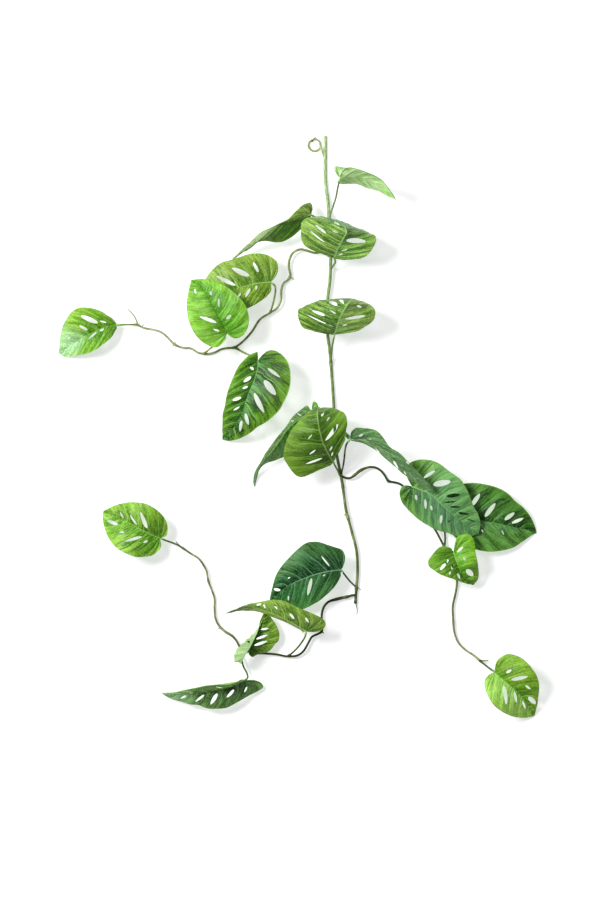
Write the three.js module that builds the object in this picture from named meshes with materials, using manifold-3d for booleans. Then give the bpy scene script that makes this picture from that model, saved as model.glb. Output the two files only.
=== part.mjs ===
// Artificial Monstera adansonii garland laid flat: a wire-cored main stem with three side shoots,
// a curled hanging loop at its top end and twenty holed heart-shaped leaves.
// +Z up. Origin at the middle of the bounding box, on the surface the garland lies on.
import * as THREE from 'three';
import { mergeVertices } from 'three/addons/utils/BufferGeometryUtils.js';
import Module from 'manifold-3d';

// Everything is laid out on a plan grid: x to the right, y towards the lower end, z in mm.
const GRID = 1.372; // mm per plan unit
const PLAN_CENTRE = [298.593, 426.669];

const BLADE = 1.0; // leaf thickness
const GAP = 0.3; // between pieces that meet
const SOCKET = 5; // length of the sleeve under a leaf that takes its stalk
const SOCKET_R = 1.7;
const STALK_R = 1.3;
const ROWS = 11; // leaf mesh: rows along the edge
const COLUMNS = 2; // and columns from rib to edge
const HOLE_DEPTH = 5; // half length of the cutter of a leaf hole
const WIDE_HOLE = 5.5; // a hole this wide has six corners, a narrower one four
const SLIT = 2.1; // plan width up to which a slit is left closed
const LOOP = { centre: [314.4, 144.3], z: 1.9, radius: 8.2, wire: 1.45 };

const STEMS = {
  main_stem: {
    path: [[325.2, 135, 2.1], [325.3, 150, 2.1], [325.5, 180, 2.1], [327.8, 200, 3.5], [329.3, 220, 6],
      [331, 245, 7], [330.6, 262, 7], [330, 280, 6], [327.8, 298, 5], [327.3, 318, 5], [327.8, 335, 5],
      [329.4, 347, 4], [330.8, 362, 2.8], [332.2, 381, 2.4], [333.9, 407, 4], [335, 430, 6], [336.5, 452, 6],
      [339.5, 468, 5], [342.5, 484, 4], [344.5, 500, 4.5], [346, 510, 5], [348, 518, 5], [350, 525, 5],
      [352.4, 534, 4.5], [356.8, 552, 4], [357.8, 572, 3], [356.5, 590, 2.6], [355.5, 604, 2.3]],
    radius: [2.4, 1.9],
    steps: 42, facets: 8,
    knots: [[330.8, 362, 2.9, 2.9], [340.6, 473.5, 4.8, 3.1], [347.4, 517, 5, 2.7], [357, 588.5, 2.7, 2.5],
      [355.5, 603, 2.5, 2.4]],
    twigs: [[[355.5, 602, 2.4], [357.3, 610, 3], [357, 615, 5]]],
    twigRadius: 0.9,
    colour: 0x7f9160,
  },
  shoot_upper_left: {
    path: [[329.5, 256, 7], [322, 252, 8.5], [315, 252.5, 9], [308, 250.5, 9], [300, 249, 8], [293, 252.5, 7],
      [289.3, 260, 6], [289, 267, 5], [290.3, 275, 4], [288, 279.3, 4], [283.5, 283, 4.5], [281.3, 290, 6],
      [280.8, 300, 7], [277, 307.5, 7], [270, 312.5, 6], [260, 319, 5], [252, 331, 4], [246, 338, 3],
      [240, 343.5, 2.5], [234, 347.3, 2.2], [228, 347.8, 2.2], [221, 349, 2.5], [215, 352, 3], [209, 353.8, 3],
      [203, 353.5, 3], [197, 352, 3], [190, 347.9, 3.5], [182, 347.3, 4], [174, 344, 4], [167, 337, 3],
      [161, 332, 2.5], [153, 329.2, 2.5], [143, 327.5, 3], [136.5, 324, 4]],
    radius: [1.7, 1.4],
    steps: 44, facets: 6,
    knots: [[290.5, 277, 4, 2.1], [234, 347.3, 2.4, 2.3], [174, 344, 4, 1.9]],
    twigs: [[[137.5, 324.5, 4], [134.5, 317, 6], [131, 312.5, 8], [127.5, 309, 9]], [[291, 277, 4], [293.8, 279, 4.5]]],
    twigRadius: 1.1,
    colour: 0x7d7a45,
  },
  shoot_right: {
    path: [[341.5, 476, 4.6], [346, 478, 5.5], [350.5, 478, 6], [355, 475, 7], [360, 471, 7], [365.5, 468.2, 6],
      [371, 467, 5], [376.3, 467.8, 4.5], [381.3, 471, 4], [385.3, 476, 3.5], [388.5, 481, 3], [394, 482.3, 3],
      [400, 484, 4], [407, 490, 6], [414, 500, 8], [422, 513, 9], [430, 523, 9], [435.5, 530, 8], [441, 540, 7],
      [444.5, 547, 6], [450, 560, 5], [456, 573, 4], [457.5, 582, 3], [455.6, 595, 3], [453.2, 606, 3],
      [453.5, 620, 3], [454.8, 633, 3], [459, 643.5, 3], [466, 650.5, 3], [473, 655, 3], [480, 661, 4]],
    radius: [1.6, 1.4],
    steps: 42, facets: 6,
    knots: [[356.5, 473.6, 7, 2.4], [444.4, 546.6, 6, 2.1], [453.7, 621.5, 3, 1.9]],
    twigs: [[[479.5, 661, 4], [484, 661.3, 4.5], [489, 661, 5.5]], [[388.3, 481, 3.2], [389, 485, 3.6]]],
    twigRadius: 1.3,
    colour: 0x7f7d48,
  },
  shoot_lower_left: {
    path: [[355.5, 595.5, 2.8], [352, 595.8, 3.4], [348, 597, 4], [341, 598.5, 4], [335, 600, 4], [329, 602, 4],
      [324.5, 606.5, 4], [322, 614, 4], [322, 625, 5], [322, 631.5, 5], [318, 634.3, 5], [312, 637.3, 5],
      [308, 644, 5], [303, 652, 5], [297, 656, 5], [287, 656.8, 4], [277, 655, 4], [265, 654, 4], [255, 653.7, 4],
      [247, 651, 4.5], [240, 647.5, 5], [236, 641, 5], [231.5, 636, 5], [225, 632, 5], [219, 626.5, 4],
      [215.3, 619, 4], [214.3, 608, 3], [214.3, 599, 3], [211.5, 590.5, 3], [208, 581, 4], [206.5, 572, 5],
      [203, 565, 5], [198, 558.5, 5], [190, 553.5, 4], [182, 548, 3.5]],
    radius: [1.6, 1.4],
    steps: 44, facets: 6,
    knots: [[344.5, 597.7, 4, 2.2], [322.3, 633, 5, 2], [221.5, 629.3, 4.5, 2]],
    twigs: [[[183, 548.7, 3.6], [179, 545.7, 4.5], [175.5, 541.5, 6]], [[322.3, 632, 5], [324.8, 635.5, 5.5]]],
    twigRadius: 1.1,
    colour: 0x7f7d48,
  },
};

// Leaves. stalk runs from the stem to the leaf base; rib from the base to the tip; each side's edge
// from the notch at the base round its lobe to the tip. Edge points without a height take the
// nearest rib height plus slope times their distance from the rib. Holes are their two ends and width.
const LEAVES = {
  leaf_01: {
    stem: 'main_stem', flipped: true, colour: 0xa4d67c, arch: 0,
    stalk: [[329.3, 219, 7], [331, 212, 11], [333.5, 205, 19], [336, 197, 30], [337.5, 189, 39], [338.8, 183.5, 45], [340, 179, 50]],
    rib: [[340, 179, 50], [352, 177.5, 54], [366, 180, 55], [380, 187, 52], [395.5, 199.8, 44]],
    sides: [
      [[336, 174, 60], [334, 168.5, 69], [337, 167.3, 76], [342, 168.7, 81], [350, 169.3, 85], [358, 171, 85],
        [368, 174, 81], [380, 180.5, 72], [390, 191, 57]],
      [[338, 181.5, 44], [337.5, 183, 36], [341, 183.7, 28], [352, 183.5, 22], [359, 184.5, 20], [366, 187, 21],
        [375, 190, 24], [381, 192.3, 29], [388, 196.3, 36]]],
    holes: [[0, 0.25, 0.35, 0.3, 0.8, 1.2], [0, 0.48, 0.3, 0.54, 0.8, 1.2], [1, 0.3, 0.35, 0.35, 0.8, 1.2],
      [1, 0.5, 0.3, 0.56, 0.8, 1.2]],
  },
  leaf_02: {
    stem: 'main_stem', colour: 0x4c7d1d, slope: [-1.1, -1.1], arch: 2,
    stalk: [[329.8, 228, 6.5], [325.5, 224, 12], [318, 218.5, 23], [311, 215, 33]],
    rib: [[311, 215, 33], [303, 217.3, 38], [293, 220, 43], [283, 223.5, 45], [273, 228.7, 43.5], [268, 232.3, 41],
      [262, 237.4, 36.5], [255, 242.2, 29], [246, 247.8, 19], [231.5, 260, 8]],
    sides: [
      [[312.5, 209], [312, 204.5], [310, 202], [303, 205], [295, 212.3], [288, 219], [283, 221.8], [278, 224.3],
        [273, 227.3], [267, 230], [261, 232.5], [254, 237.9], [248, 243.4], [243, 248.3], [238, 253.2]],
      [[309.5, 219], [307, 225], [301, 229], [296, 233], [290, 238], [284, 241], [278, 241.8], [272, 241.7],
        [264, 240.8], [259, 241.6], [254.5, 245], [249.5, 248.2], [243.5, 251.6], [237.5, 255.8]]],
    holes: [[303, 209, 301.3, 212.5, 2], [290.8, 223.5, 290.3, 228.8, 1.6], [281.5, 227, 280, 231, 1.2],
      [252.6, 242, 250.8, 243.8, 1.4]],
  },
  leaf_03: {
    stem: 'main_stem', colour: 0x6aa238, arch: 3,
    stalk: [[331, 268, 7], [333.5, 265, 14], [335.3, 261.5, 23], [334, 258, 31]],
    rib: [[334, 258, 31], [338, 249, 48], [343, 240, 65], [346.5, 232.5, 75], [345, 229.5, 73], [343, 226.5, 62],
      [341, 224, 46], [339.3, 221.8, 30], [338, 220, 16]],
    sides: [
      [[331, 257.5, 33], [326, 255, 35], [318, 251.5, 38], [306.5, 247.5, 42], [302, 241, 45], [301, 232, 48],
        [301.5, 223, 48], [307, 218.5, 42], [318, 216.7, 33], [326, 217.5, 26], [333, 219, 20]],
      [[337.5, 259, 32], [350, 259.5, 34], [360, 258.5, 38], [368, 254.5, 42], [373, 248, 45], [376, 240, 46],
        [374.5, 236, 42], [371, 233.8, 36], [365, 231, 28], [356, 227.5, 22], [348, 223.6, 18]]],
    holes: [[345.9, 241.6, 365.5, 241.3, 5.4], [341, 251, 347.4, 249, 2], [338.3, 255, 342.6, 253.8, 1.6],
      [326.7, 235, 315.3, 226, 2.6], [325, 242.8, 309.6, 230, 2.2], [337.2, 233.6, 332.2, 230.4, 1.8],
      [339.4, 226.8, 329.2, 219.3, 3.6]],
  },
  leaf_04: {
    stem: 'shoot_upper_left', colour: 0x6c9f33, slope: [0.12, 0.1], arch: 3,
    stalk: [[269.5, 313, 6], [272, 307, 9], [274, 299, 11], [275.4, 291, 13], [274.8, 285.5, 15.5], [270, 282, 20]],
    rib: [[270, 282, 20], [258, 283, 24], [245, 286, 25], [233, 289.5, 22], [219, 290, 16], [205, 286.5, 10]],
    sides: [
      [[272.5, 279], [276.3, 275], [278, 268], [276.2, 261], [269.5, 256], [262, 253.7], [250, 254], [240, 257],
        [230, 260], [221, 262.5], [213.3, 268.2], [208.2, 274.5], [205, 280]],
      [[270.7, 286], [271.3, 289.5], [269, 293.5], [263.6, 299], [257.6, 303], [250.4, 307], [243, 310.4],
        [237, 311.5], [230, 307.5], [223.5, 299.5], [215, 291.5]]],
    holes: [[258.8, 272.3, 252.2, 262.3, 3.2], [248.2, 276.2, 232.8, 267.3, 5.2], [234.9, 285.5, 216, 276, 4],
      [257, 285.6, 256.3, 290.4, 2.4], [249.7, 288.3, 245, 297.3, 3], [241, 293.3, 238.4, 296.8, 2]],
  },
  leaf_05: {
    stem: 'shoot_upper_left', colour: 0x57ad22, slope: [0.22, 0.22], arch: 3,
    stalk: [[204, 353, 4], [208, 350, 8], [213, 346, 14], [219, 341, 22], [224, 337, 30], [226.5, 332.5, 38]],
    rib: [[226.5, 332.5, 38], [220, 320, 42], [214, 309, 42], [209, 299, 38], [202, 289, 30], [191.3, 279.6, 20]],
    sides: [
      [[230, 336.3], [235, 338.5], [242, 336.3], [246.5, 331], [249, 322.5], [248.5, 314.5], [245.2, 305],
        [240, 298.2], [233.6, 292.2], [225.4, 286.1], [216.3, 282], [208, 279.8], [199.5, 279]],
      [[226, 338.5], [222, 344], [216, 347.6], [207.5, 345.2], [199, 339], [193, 330.7], [188.8, 320.5], [187, 308],
        [187.6, 297], [189.2, 287.5]]],
    holes: [[210.2, 291.2, 212.2, 296, 3], [219.7, 299.2, 218.8, 306.8, 2.2], [231.3, 314.9, 226, 319.3, 3],
      [216.4, 323.2, 200, 317.5, 3.4], [219.5, 331.2, 213.5, 329.1, 2], [194.8, 289.5, 195.8, 293.3, 2]],
  },
  leaf_06: {
    stem: 'shoot_upper_left', colour: 0x59ab1e, slope: [0.2, 0.15], arch: 3,
    stalk: [[136.8, 324.2, 4], [129, 324.3, 8], [122, 324.5, 12], [116, 325, 14]],
    rib: [[116, 325, 14], [105, 327, 19], [95, 331, 21], [80, 339, 17], [68, 346.5, 9], [58, 352.5, 0.5]],
    sides: [
      [[114.5, 321.5], [111.6, 318.3], [107, 315.2], [102.8, 312.3], [98.3, 310], [92, 308.4], [81, 307.4],
        [75.5, 309], [70.2, 313.3], [66, 319.6], [62, 327.8], [60, 336], [59, 343.8]],
      [[116.5, 328], [113.6, 333], [109.8, 338], [104.7, 343], [96.4, 349], [88.2, 353], [79, 354.8], [69, 356.6],
        [63, 356]]],
    holes: [[97.3, 323.3, 80.8, 315, 4.8], [87, 330, 79, 324.8, 2.8], [99.2, 331.2, 103.3, 328.8, 2.2],
      [96, 331.8, 88, 340, 2.4], [106, 322.8, 99.5, 321.3, 1.8], [70.5, 337.5, 67.8, 336, 1.6]],
  },
  leaf_07: {
    stem: 'shoot_upper_left', colour: 0x38790f, slope: [0.25, 0.25], arch: 4,
    stalk: [[234, 347.3, 3], [240, 350.5, 9], [247, 354, 15], [253.5, 357.5, 21], [258, 361, 26]],
    rib: [[258, 361, 26], [257, 370, 30], [254, 380, 33], [250, 390, 34], [246, 400, 33], [243, 410, 29], [238, 421, 22],
      [230, 432, 12], [222.3, 439.5, 1]],
    sides: [
      [[257.5, 351.5], [249.7, 354.9], [243.4, 360.4], [237.3, 368.5], [233.3, 376.7], [229.3, 386.8], [226.3, 396.8],
        [224.8, 405.9], [222.8, 413.9], [222.2, 425], [222.3, 434]],
      [[262, 356], [266, 351.7], [271, 350], [276.4, 351], [282.7, 355.2], [287, 360.5], [289.6, 367.6], [290.7, 376],
        [290.2, 385.3], [287.6, 394.6], [284.1, 401.7], [280, 409.4], [273.8, 416], [265.7, 422.5], [257.6, 427],
        [251.4, 432], [244.3, 436.3], [236.2, 439.6], [229, 440.8]]],
    holes: [[253.6, 369.3, 249.7, 367.7, 3], [251.3, 377.4, 243, 381.3, 3.4], [247.4, 386, 242.8, 388.6, 2.4],
      [241.3, 397.1, 232.4, 401.1, 3.2], [239.3, 407.1, 233, 409.1, 2.2], [267.8, 369.1, 280.2, 377.1, 3.2],
      [264.1, 381, 275.2, 396.6, 6.4], [254.1, 393.6, 265, 411.9, 5], [245.8, 413, 249.7, 424.1, 4.4],
      [242.4, 420, 239.1, 432.1, 3.8]],
  },
  leaf_08: {
    stem: 'main_stem', colour: 0x6da53c, arch: 3,
    stalk: [[330.8, 362, 4], [331.5, 354, 11], [332.3, 346, 20], [333.5, 339.5, 28], [334.5, 334.5, 34]],
    rib: [[334.5, 334.5, 34], [337, 327, 50], [340, 318, 65], [345, 309, 77], [348.5, 304, 80], [350.5, 301, 73],
      [351.5, 299.5, 59], [352, 299, 42], [352.5, 299, 27], [353, 299.2, 14]],
    sides: [
      [[331, 334.3, 35], [325, 333, 37], [312, 330.8, 41], [303, 327.5, 44], [299, 320.5, 47], [297.8, 315, 50],
        [298.5, 309.7, 51], [302, 308.3, 50], [308, 304.7, 45], [316.5, 301.5, 38], [324, 299.9, 30], [338, 299, 20],
        [346, 299, 16]],
      [[338, 333.3, 35], [350, 332, 38], [356.3, 331.2, 40], [364, 327.3, 43], [371.7, 322.3, 46], [375, 314, 49],
        [374.3, 309.5, 48], [371.8, 306, 43], [367, 303.5, 37], [361.5, 301.6, 28], [356, 300.2, 20]]],
    holes: [[345.1, 318.4, 364.9, 315.2, 4.8], [356, 306.7, 361.6, 307, 2.2], [341.9, 326.2, 347.3, 324.2, 2],
      [337.4, 307.2, 326.7, 301.2, 4], [343.6, 305.8, 338.2, 299.8, 3], [336.3, 313.5, 329.6, 310.2, 1.8],
      [325.5, 316, 312.8, 310.6, 2.8], [332.8, 327.2, 306.8, 314, 2]],
  },
  leaf_09: {
    stem: 'main_stem', colour: 0x487f45, slope: [-1.3, 0], arch: 1,
    stalk: [[334, 408, 5], [328, 410.5, 7], [320, 413.5, 11], [314.5, 414.5, 18], [312, 413, 24]],
    rib: [[312, 413, 24], [303, 417, 30], [294, 423, 33], [287, 430, 34], [281, 439, 33], [273, 450, 29],
      [265, 459, 22], [259.5, 467, 14], [255.8, 476, 6], [254.5, 487, 0.6]],
    sides: [
      [[309.5, 408.5, 25], [307.3, 405.4, 24], [304.3, 407, 22], [298, 412], [291, 419.3], [285, 427.8],
        [278.5, 435.7], [272, 443.7], [266.5, 452.2], [261.5, 460.4], [257.6, 467], [254.4, 474], [253.2, 481]],
      [[312.5, 408, 27], [313.5, 401.5, 29], [317, 403, 29], [318.5, 409, 26], [316, 420, 20], [310, 432, 15],
        [303, 443, 11], [295, 450, 10], [285, 456.5, 9], [275, 460, 10], [267, 462.5, 11], [261.5, 466.5, 11],
        [257.5, 475, 5]]],
    holes: [[301.5, 416, 297, 413, 1.8], [294, 421.5, 290.5, 420, 1.8], [298, 428, 302, 436, 3],
      [290, 441, 291, 450, 3]],
  },
  leaf_10: {
    stem: 'main_stem', colour: 0x6c9b30, arch: 3,
    stalk: [[340, 475, 7], [337.5, 470, 13], [335, 465.5, 22], [333, 461.5, 29]],
    rib: [[333, 461.5, 29], [329, 455, 40], [325, 447, 52], [322, 440, 60], [319.5, 430, 68], [318, 421, 71], [317.5, 414, 67],
      [317.5, 410.5, 56], [318, 408.8, 42], [318.5, 408, 28]],
    sides: [
      [[331, 465, 30], [325, 467.5, 32], [316, 471.3, 34], [308, 475.2, 36], [301, 477, 38], [296, 475.3, 40],
        [291, 470, 42], [287, 464, 44], [283.5, 457, 46], [284.5, 448, 48], [287, 440, 50], [292, 430, 52],
        [298, 422, 52], [306, 414, 48], [312, 410, 41], [316, 408.5, 34]],
      [[335, 459.5, 31], [336, 456, 33], [337.8, 452, 36], [341.3, 447, 40], [344.6, 440, 44], [346, 431, 47],
        [347, 423.5, 48], [345.5, 415.5, 46], [341, 411, 41], [333, 408.5, 36], [325, 407.7, 31]]],
    holes: [[322.9, 411.7, 321.8, 417.6, 2.8], [329.3, 417.4, 325.8, 421.3, 1.6], [337.3, 424.1, 325.4, 440.8, 4.6],
      [331.6, 445.2, 329.3, 451, 2], [333.2, 451.9, 331.3, 456.3, 1.8], [311.6, 434.7, 307.7, 438.6, 1.4],
      [316, 449.1, 309.3, 453.6, 1.6], [321.8, 458, 306.2, 463.9, 2.6]],
  },
  leaf_11: {
    stem: 'main_stem', colour: 0x5c9a64, slope: [1.0, -1.1], arch: 1,
    stalk: [[341.2, 473, 6], [343, 467, 15], [344.3, 458, 28], [345.2, 449, 37], [347, 443, 41], [350.5, 439, 44]],
    rib: [[350.5, 439, 44], [359, 436.5, 49], [369, 439.5, 54], [380, 447, 57], [391, 457, 57], [403, 467, 54], [415, 477, 49],
      [425, 485, 44], [435, 492, 38]],
    sides: [
      [[351, 434], [352, 430.5], [356, 427.8], [362, 428], [370, 429], [376, 431], [381, 435.3], [384.5, 440],
        [388, 445], [392, 448.8], [397.5, 452], [402.5, 456.5], [407.5, 462], [416, 470], [425, 479.5], [431, 486.5]],
      [[350.3, 436.5], [348, 434], [345.6, 431.8], [344.5, 434], [346, 437], [349, 439.7], [355, 441], [363, 442.7],
        [371.7, 447.5], [378, 452], [383, 456.7], [393, 465], [402.5, 473], [411, 480], [420, 485.5], [428, 490]]],
    holes: [[358.8, 436.2, 363, 434, 1.8], [366, 438, 371.5, 438.8, 1.6], [374.8, 447, 378.8, 455.8, 3],
      [393.3, 460.3, 396.8, 469.8, 3.4], [405.7, 461.2, 409, 465, 1.6], [403.8, 470.8, 406, 474.8, 2]],
  },
  leaf_12: {
    stem: 'shoot_right', colour: 0x4f8a3c, slope: [0.12, -0.3], arch: 4,
    stalk: [[403.5, 486.8, 5], [406, 488, 10], [409.5, 488.2, 15], [413, 487, 20]],
    rib: [[413, 487, 20], [421, 490, 24], [430, 494, 26], [438, 501, 27], [445, 508, 27], [453, 515, 26], [460, 520, 24],
      [470, 528, 21], [479, 534, 18]],
    sides: [
      [[410.5, 483], [407.3, 478], [406.8, 471], [408, 465], [411.5, 462], [416, 460.5], [422, 459.5], [432, 460.5],
        [440, 464], [448, 470.5], [456, 476], [461, 480], [464.5, 485.5], [468, 492], [471, 500], [474, 507],
        [478, 514], [480.3, 523]],
      [[407, 485.5], [403, 486], [400, 491], [401, 499], [405.5, 506.7], [411.7, 513.3], [418.7, 519.2],
        [427.5, 525.2], [436.3, 529.6], [447, 532.5], [456, 536], [468, 536.5]]],
    holes: [[423.6, 478, 434.1, 470.2, 3.2], [433.3, 484.9, 450.2, 480.9, 6], [446.3, 496.8, 461.3, 494.9, 4],
      [443.8, 502.4, 456, 501, 1.8], [450, 507.6, 461.9, 506.6, 2.2], [458, 512.6, 468.6, 513.3, 2.8],
      [467.4, 518.8, 475.8, 521.6, 1.6], [415.2, 494.8, 416.2, 499.8, 2.8], [424.4, 498.8, 425.6, 508.8, 2.8],
      [431.3, 505.2, 431.7, 510, 2.4], [440.8, 514.6, 441.6, 524, 3], [447.4, 522.7, 450.8, 519.3, 1.6]],
  },
  leaf_13: {
    stem: 'shoot_right', colour: 0x35731f, slope: [0.1, 0.02], arch: 2,
    stalk: [[444.8, 546, 5.5], [445.5, 540, 3.6], [445, 530, 2.2], [444.5, 521, 4], [447, 515, 9]],
    rib: [[447, 515, 9], [460, 517, 10], [472, 519.5, 11], [480, 521, 11.5], [490, 522.5, 12], [500, 524, 12], [512, 527, 9],
      [525, 529.5, 5], [537, 533, 0.6]],
    sides: [
      [[447, 509.5], [443.8, 503], [444.8, 496], [449, 490], [456, 485.7], [464, 483.7], [474, 482.8], [484, 484],
        [493, 486], [502, 489.5], [509.5, 494.5], [515, 500.5], [523, 507], [529.5, 514.5], [534, 522.5],
        [536.3, 529]],
      [[448, 523], [450.7, 531.3], [457.6, 539.7], [466.7, 545.9], [474.8, 549.3], [482, 551], [492, 552],
        [504.2, 550.5], [513.4, 548], [522.5, 542.3], [530, 537]]],
    holes: [[471.8, 506, 480.6, 494.2, 4.4], [484.4, 516.8, 496.5, 504, 4.6], [505.3, 520, 514.5, 512.7, 4.2],
      [512.3, 523, 523.8, 518.3, 3.4], [482.2, 529.5, 483.6, 532.8, 1.1], [502.2, 530.2, 504.6, 535.2, 1.2]],
  },
  leaf_14: {
    stem: 'shoot_right', colour: 0x66ab18, slope: [0.15, 0.15], arch: 3,
    stalk: [[444.8, 547.5, 6.5], [448.5, 550.5, 13], [454, 553, 21]],
    rib: [[454, 553, 21], [456, 560, 26], [460, 570, 26], [465, 578, 21], [474, 585, 12]],
    sides: [
      [[451, 548], [445, 546.3], [439.5, 547.3], [434.9, 551.5], [430.8, 556.7], [428.2, 561.5], [429.2, 566.6],
        [433.8, 570.2], [439.8, 574], [446, 576.7], [456, 579.7], [465, 583.3]],
      [[455.2, 546.5], [455.6, 540.3], [458.6, 536], [463, 534.5], [470.3, 535], [474, 540.8], [475.3, 550],
        [477, 560], [478.7, 570], [478.3, 578.5]]],
    holes: [[457, 552, 463.8, 547.3, 2.8], [463, 557.3, 465.2, 560.3, 1.8], [466.5, 568.8, 473, 576, 5.4],
      [448.6, 558.5, 447, 562.8, 1.8], [446, 563.5, 440.3, 570.3, 3.2], [453.7, 564.7, 451.2, 569.6, 2.6],
      [450.6, 572, 449, 574.8, 1.6], [457.3, 573.5, 459.8, 578.3, 2.4]],
  },
  leaf_15: {
    stem: 'shoot_right', colour: 0x6cb124, slope: [0.2, 0.22], arch: 3,
    stalk: [[480, 661, 4], [485.5, 665.5, 9], [490.5, 669.3, 14], [495.5, 672.5, 18]],
    rib: [[495.5, 672.5, 18], [502, 678, 22], [510, 685, 24], [519, 693, 20], [527, 703, 12], [535, 716.5, 0.5]],
    sides: [
      [[495.7, 667], [496.6, 662.2], [501.7, 656.8], [508, 654.2], [515.2, 655.2], [522.6, 658.6], [528.7, 664.4],
        [532.8, 669.5], [536.6, 675.7], [539, 683], [539.3, 691], [538.3, 700], [537, 708]],
      [[490.5, 674.3], [487, 677], [484.7, 682], [485.2, 688.2], [488.3, 696.4], [493.4, 704.7], [500.6, 710.8],
        [509, 715.2], [518, 717.8], [527, 718.3]]],
    holes: [[506.5, 672.4, 512.2, 669.9, 2.8], [511.3, 679.2, 527.9, 676.8, 3.8], [525.6, 685.6, 530.4, 689.2, 2.4],
      [528.9, 697.6, 536, 703.2, 5], [504, 685.6, 506.2, 704.3, 4], [514, 691.5, 515.8, 703.2, 2.8],
      [523, 701.7, 525.8, 709.3, 2.2]],
  },
  leaf_16: {
    stem: 'main_stem', colour: 0x357243, slope: [0.1, -0.2], arch: 4,
    stalk: [[357, 588, 4], [352.5, 584, 8], [348.3, 579.5, 13], [344.5, 574.5, 18], [341, 570, 22]],
    rib: [[341, 570, 22], [330, 571, 28], [320, 573, 31], [310, 576, 31], [300, 580, 28], [290, 584.5, 23], [280, 592, 16],
      [269, 603, 8]],
    sides: [
      [[343.5, 565], [344.7, 560], [344.7, 555], [342, 550], [334, 547], [327, 544.5], [319, 542], [312, 541.7],
        [306, 543], [299, 548], [291, 555.5], [285, 562], [278.3, 571.5], [274.3, 580.5], [271.5, 591]],
      [[340.7, 576], [338.5, 581], [335, 585.5], [330, 591], [322, 599], [312, 605], [304, 609], [296, 611],
        [287, 611], [278, 608]]],
    holes: [[329.7, 565.8, 320.8, 555.8, 1.8], [281, 589, 273, 590, 3.2], [311.5, 578.5, 308, 595.5, 3.6],
      [326, 574.5, 323, 575.8, 1.4], [288.5, 596, 288, 600.5, 1.6], [290.5, 576.5, 288.3, 577.5, 1.4]],
  },
  leaf_17: {
    stem: 'shoot_lower_left', colour: 0x74a333, arch: 2,
    stalk: [[288, 656.5, 4], [292, 653.5, 9], [297.5, 648, 16], [302, 642, 23], [305.3, 636, 30], [306, 631, 34]],
    rib: [[306, 631, 34], [298, 626, 38], [289, 620.5, 41], [279, 616, 42], [269, 611.5, 41], [259, 608, 38],
      [249, 607, 33], [240, 608.3, 27], [226, 613.5, 16]],
    sides: [
      [[312, 631.3, 32], [319, 631, 32], [324.5, 627.5, 34], [325.5, 622.5, 36], [321, 617.5, 40], [309, 611.8, 45],
        [301, 608.5, 47], [293, 604.8, 48], [285, 601, 48], [278, 599.7, 47], [270, 599.7, 45], [260, 601.7, 41],
        [250, 603.7, 36], [240, 607.3, 28], [231, 611.1, 21]],
      [[303, 632.8, 30], [301, 630.3, 26], [296, 627.3, 24], [289, 623.3, 23], [280, 619.3, 22], [271, 616, 22],
        [262, 613, 22], [252, 610.8, 21], [244, 610.5, 20], [235, 611.8, 17]]],
    holes: [[289, 613, 295, 618.5, 2.6], [275, 604, 277, 609, 2], [306, 617, 309, 622.5, 2], [256, 605.5, 260, 604, 1.8],
      [264, 604, 266, 608, 1.8]],
  },
  leaf_18: {
    stem: 'shoot_lower_left', colour: 0x4f8a12, slope: [0, -0.15], arch: 2, socket: 3,
    stalk: [[242.5, 649.3, 6], [245, 651.3, 8.5], [248.5, 652, 12]],
    rib: [[248.5, 652, 12], [251, 645, 14], [257, 633, 16], [260, 622, 15], [264, 613, 12]],
    sides: [
      [[241, 664, 26], [242.5, 660.5, 30], [246, 654, 33], [250, 647.5, 34], [254, 640, 30], [257.5, 632, 24],
        [260.3, 625, 18], [262.3, 618.5, 14]],
      [[249.5, 655.5], [252.5, 657.3], [256.5, 655.2], [262.7, 654.1], [270, 650.4], [275, 644.6], [278.2, 641.3],
        [279.2, 634], [276, 625.5], [270.8, 617.5], [267, 613.8]]],
    middles: [
      [[241, 659.5, 16], [235.3, 661.5, 19], [234.3, 656, 23], [236.7, 649.5, 26], [242.3, 643.8, 26], [249, 638, 24],
        [256, 631, 20], [260.5, 625, 16.5], [262.4, 618.5, 13]],
      null],
    holes: [[260.5, 629.5, 268.5, 628, 2], [256, 639.5, 267.5, 635.3, 2.4], [254, 646, 267.5, 641.3, 2.8],
      [0, 0.46, 0.76, 0.42, 0.93, 3.2]],
  },
  leaf_19: {
    stem: 'shoot_lower_left', colour: 0x2f6016, slope: [0, -0.45], arch: 2,
    stalk: [[240.6, 648.5, 5], [241, 655, 5], [242, 662, 6], [243.7, 668, 8], [246.5, 673, 9], [247.6, 678, 11.5], [244, 681, 18]],
    rib: [[244, 681, 18], [232, 686.5, 24], [217, 690, 27], [202, 692.5, 26], [186, 694, 18], [172, 694.3, 9], [161.5, 693.5, 0.6]],
    sides: [
      [[243.3, 679.5, 24], [240, 680.3, 33], [236, 682, 39], [230, 683.5, 43], [215, 684.5, 46], [205, 685.8, 44],
        [193, 687.8, 37], [185, 690, 27], [178, 691.8, 18], [168, 693.3, 6]],
      [[250.5, 681], [255.3, 681], [260.7, 683.2], [263.2, 687.6], [258.4, 691.2], [250.3, 695.5], [240.3, 700.7],
        [233.2, 704.7], [226.2, 708], [219, 709], [210, 709.2], [204, 707.7], [198, 705.2], [190, 704.4],
        [182, 702.2], [172, 699.7], [166, 697]]],
    holes: [[196, 693.5, 190, 697.5, 2], [186.5, 696, 180, 698.8, 2], [204, 695, 196, 702, 2.4], [218, 693.5, 211, 704.5, 4],
      [234, 690, 227, 697.5, 3.2], [247, 687, 243, 692.5, 2.4], [224, 687.5, 215.5, 686, 1.6]],
  },
  leaf_20: {
    stem: 'shoot_lower_left', colour: 0x5fae1c, slope: [0.18, 0.18], arch: 3,
    stalk: [[182.5, 548.3, 4], [176, 544.5, 8], [168, 541.5, 13], [159, 538, 18]],
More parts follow.
